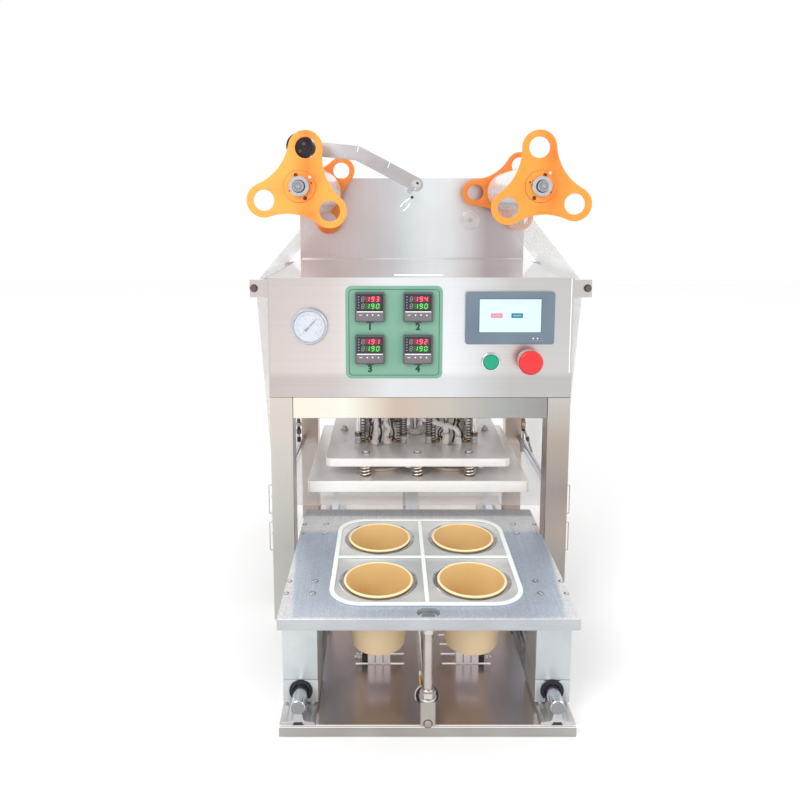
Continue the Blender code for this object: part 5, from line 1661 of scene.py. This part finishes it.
def guide_rollers():
    pin = 3
    for node in ("corner_roller_left", "lower_roller_left", "corner_roller_right", "lower_roller_right"):
        place, radius, length = round_node(node)
        solid = Solid("guide_" + node, place)
        solid.turned(SHAFT_STEEL, [(0, 0), (pin, 0), (pin, 3), (radius - 0.6, 3), (radius, 3.6),
                                   (radius, length - 3.6), (radius - 0.6, length - 3), (pin, length - 3),
                                   (pin, length), (0, length)])
        solid.made(node, "chromed_steel", node)


def arm_strip(points, half):
    """Constant-width strip round a bent centre line, with round ends."""
    points = [Vector(p) for p in points]
    left, right = [], []
    for before, here, after in zip(points, points[1:], points[2:]):
        first, second = (here - before).normalized(), (after - here).normalized()
        across = Vector((-first.y - second.y, first.x + second.x)).normalized()
        reach = half / across.dot(Vector((-first.y, first.x)))
        left.append(tuple(here + across * reach))
        right.append(tuple(here - across * reach))
    out, back = points[1] - points[0], points[-1] - points[-2]
    start = math.degrees(math.atan2(out.y, out.x))
    end = math.degrees(math.atan2(back.y, back.x))
    outline = arc(points[0], half, start + 90, start + 270, 20)
    outline += right + arc(points[-1], half, end - 90, end + 90, 20) + left[::-1]
    return outline


def contact_arm():
    """Bent sheet arm on its pivot shaft, with the rubber-tyred wheel that rests on the supply roll."""
    arm_end = box("roll_arm")[1].y
    hub, radius, width = round_node("contact_wheel")
    pivot, bends, tip = (-5, 746), [(-54, 772), (-106, 799)], (hub.x, hub.z)
    y0, y1 = 92.5, 97.5
    solid = Solid("arm_sheet", (pivot[0], y0, pivot[1]))
    solid.panel(ARM_METAL, [arm_strip([pivot, *bends, tip], 12)], y0, y1, 0.5)
    # Painted light: a white strip across the sheet at each bend.
    for (x, z), lean in zip(bends, (3.78, 1.8)):
        painted_bend_light = [(x - 0.7, z + 2), (x + 0.7, z + 2), (x + 0.7 + lean, z + 11.4), (x - 0.7 + lean, z + 11.4)]
        solid.panel(WHITE_PRINT, [painted_bend_light], y0 - 0.15, y0 + 0.3)
    solid.rod(SHAFT_STEEL, 7, (0, 4.5, 0), (0, arm_end - y0, 0), 0.5)
    solid.pipe(SHAFT_STEEL, 3.6, 9.4, (0, -1.2, 0), (0, 0.2, 0))
    solid.rod(BOLT_STEEL, 6.4, (0, -6, 0), (0, 0, 0), 0.7)
    solid.rod(BLACK, 2.2, (2, -6.3, 2), (2, -5, 2), 0.1)
    hook = [(-1, -6), (-4, -13), (-7, -22), (-10, -32), (-19, -43), (-26, -46), (-28, -41), (-21, -31),
            (-11, -24)]
    solid.lead(CHROME, 0.9, [(u, -3, v) for u, v in hook], 56)
    solid.rod(BLACK, 2.4, (-7, -5.4, -22), (-7, -0.6, -22), 0.4, 24)
    solid.made("arm", "stainless_sheet", "roll_arm")

    wheel = Solid("rubber_wheel", hub)
    r = radius
    tyre = [(r - 8, 0.8), (r - 6, 0), (r - 1.6, 0), (r, 1.6), (r, width - 1.6), (r - 1.6, width),
            (r - 8, width), (r - 8, 0.8)]
    wheel.turned(RUBBER, tyre, sides=96)
    core = [(0, 2), (r - 8.4, 2), (r - 8, 1.4), (r - 7.4, 2), (r - 7.4, width - 2), (0, width - 2)]
    wheel.turned(BLACK, core, sides=96)
    for turn, size, look in ((168, 2.0, BOLT_LIGHT), (27, 3.2, DARK_STEEL), (277, 3.2, DARK_STEEL)):
        u, v = around((0, 0), 8.5, turn)
        socket_screw(wheel, (u, 2, v), (0, -1, 0), size, 1.6, look)
    wheel.made("arm_wheel", "black_rubber", "contact_wheel")

    ring = Solid("wheel_ring")
    outline = arc(tip, 20.4, -80, 62, 24) + arc(tip, 18.6, 62, -80, 24)
    ring.panel(CHROME, [outline], hub.y + width + 0.2, y0 - 0.1)
    ring.made("arm", "chromed_steel")


def feed_motor():
    place, _, length = round_node("feed_motor")
    solid = Solid("gear_motor", place)
    solid.turned(GEAR_MOTOR, [(0, 0), (26.4, 0), (27, 0.6), (27, 24), (26.2, 24.8), (22, 24.8),
                              (22, length - 3), (20, length - 0.4), (6, length - 0.4), (6, length - 1.6),
                              (0, length - 1.6)])
    for k in range(4):
        u, v = around((0, 0), 23.8, 45 + 90 * k)
        socket_screw(solid, (u, 24.4, v), (0, 1, 0), 2.2, 2.4)
    for k in range(18):
        rib = slab((-0.7, place.y + 27, -0.6), (0.7, place.y + length - 4, 0.9))
        solid.add(placed(rib, *around((place.x, place.z), 21.8, 20 * k), 90 - 20 * k), GEAR_MOTOR)
    solid.made("frame", "motor_black", "feed_motor")


# ---------------------------------------------------------------- the machine

def build():
    camera()
    studio()
    frame_parts()
    housing_details()
    side_fittings()
    gauge()
    temperature_controllers()
    control_plate()
    touch_screen()
    push_buttons()
    rails()
    tray_cylinder()
    ejectors()
    slide_legs()
    drive_post()
    tray()
    gasket()
    cups()
    head_plates()
    plate_springs()
    sealing_heads()
    heater_leads()
    spools()
    film_sheet()
    guide_rollers()
    contact_arm()
    feed_motor()


build()
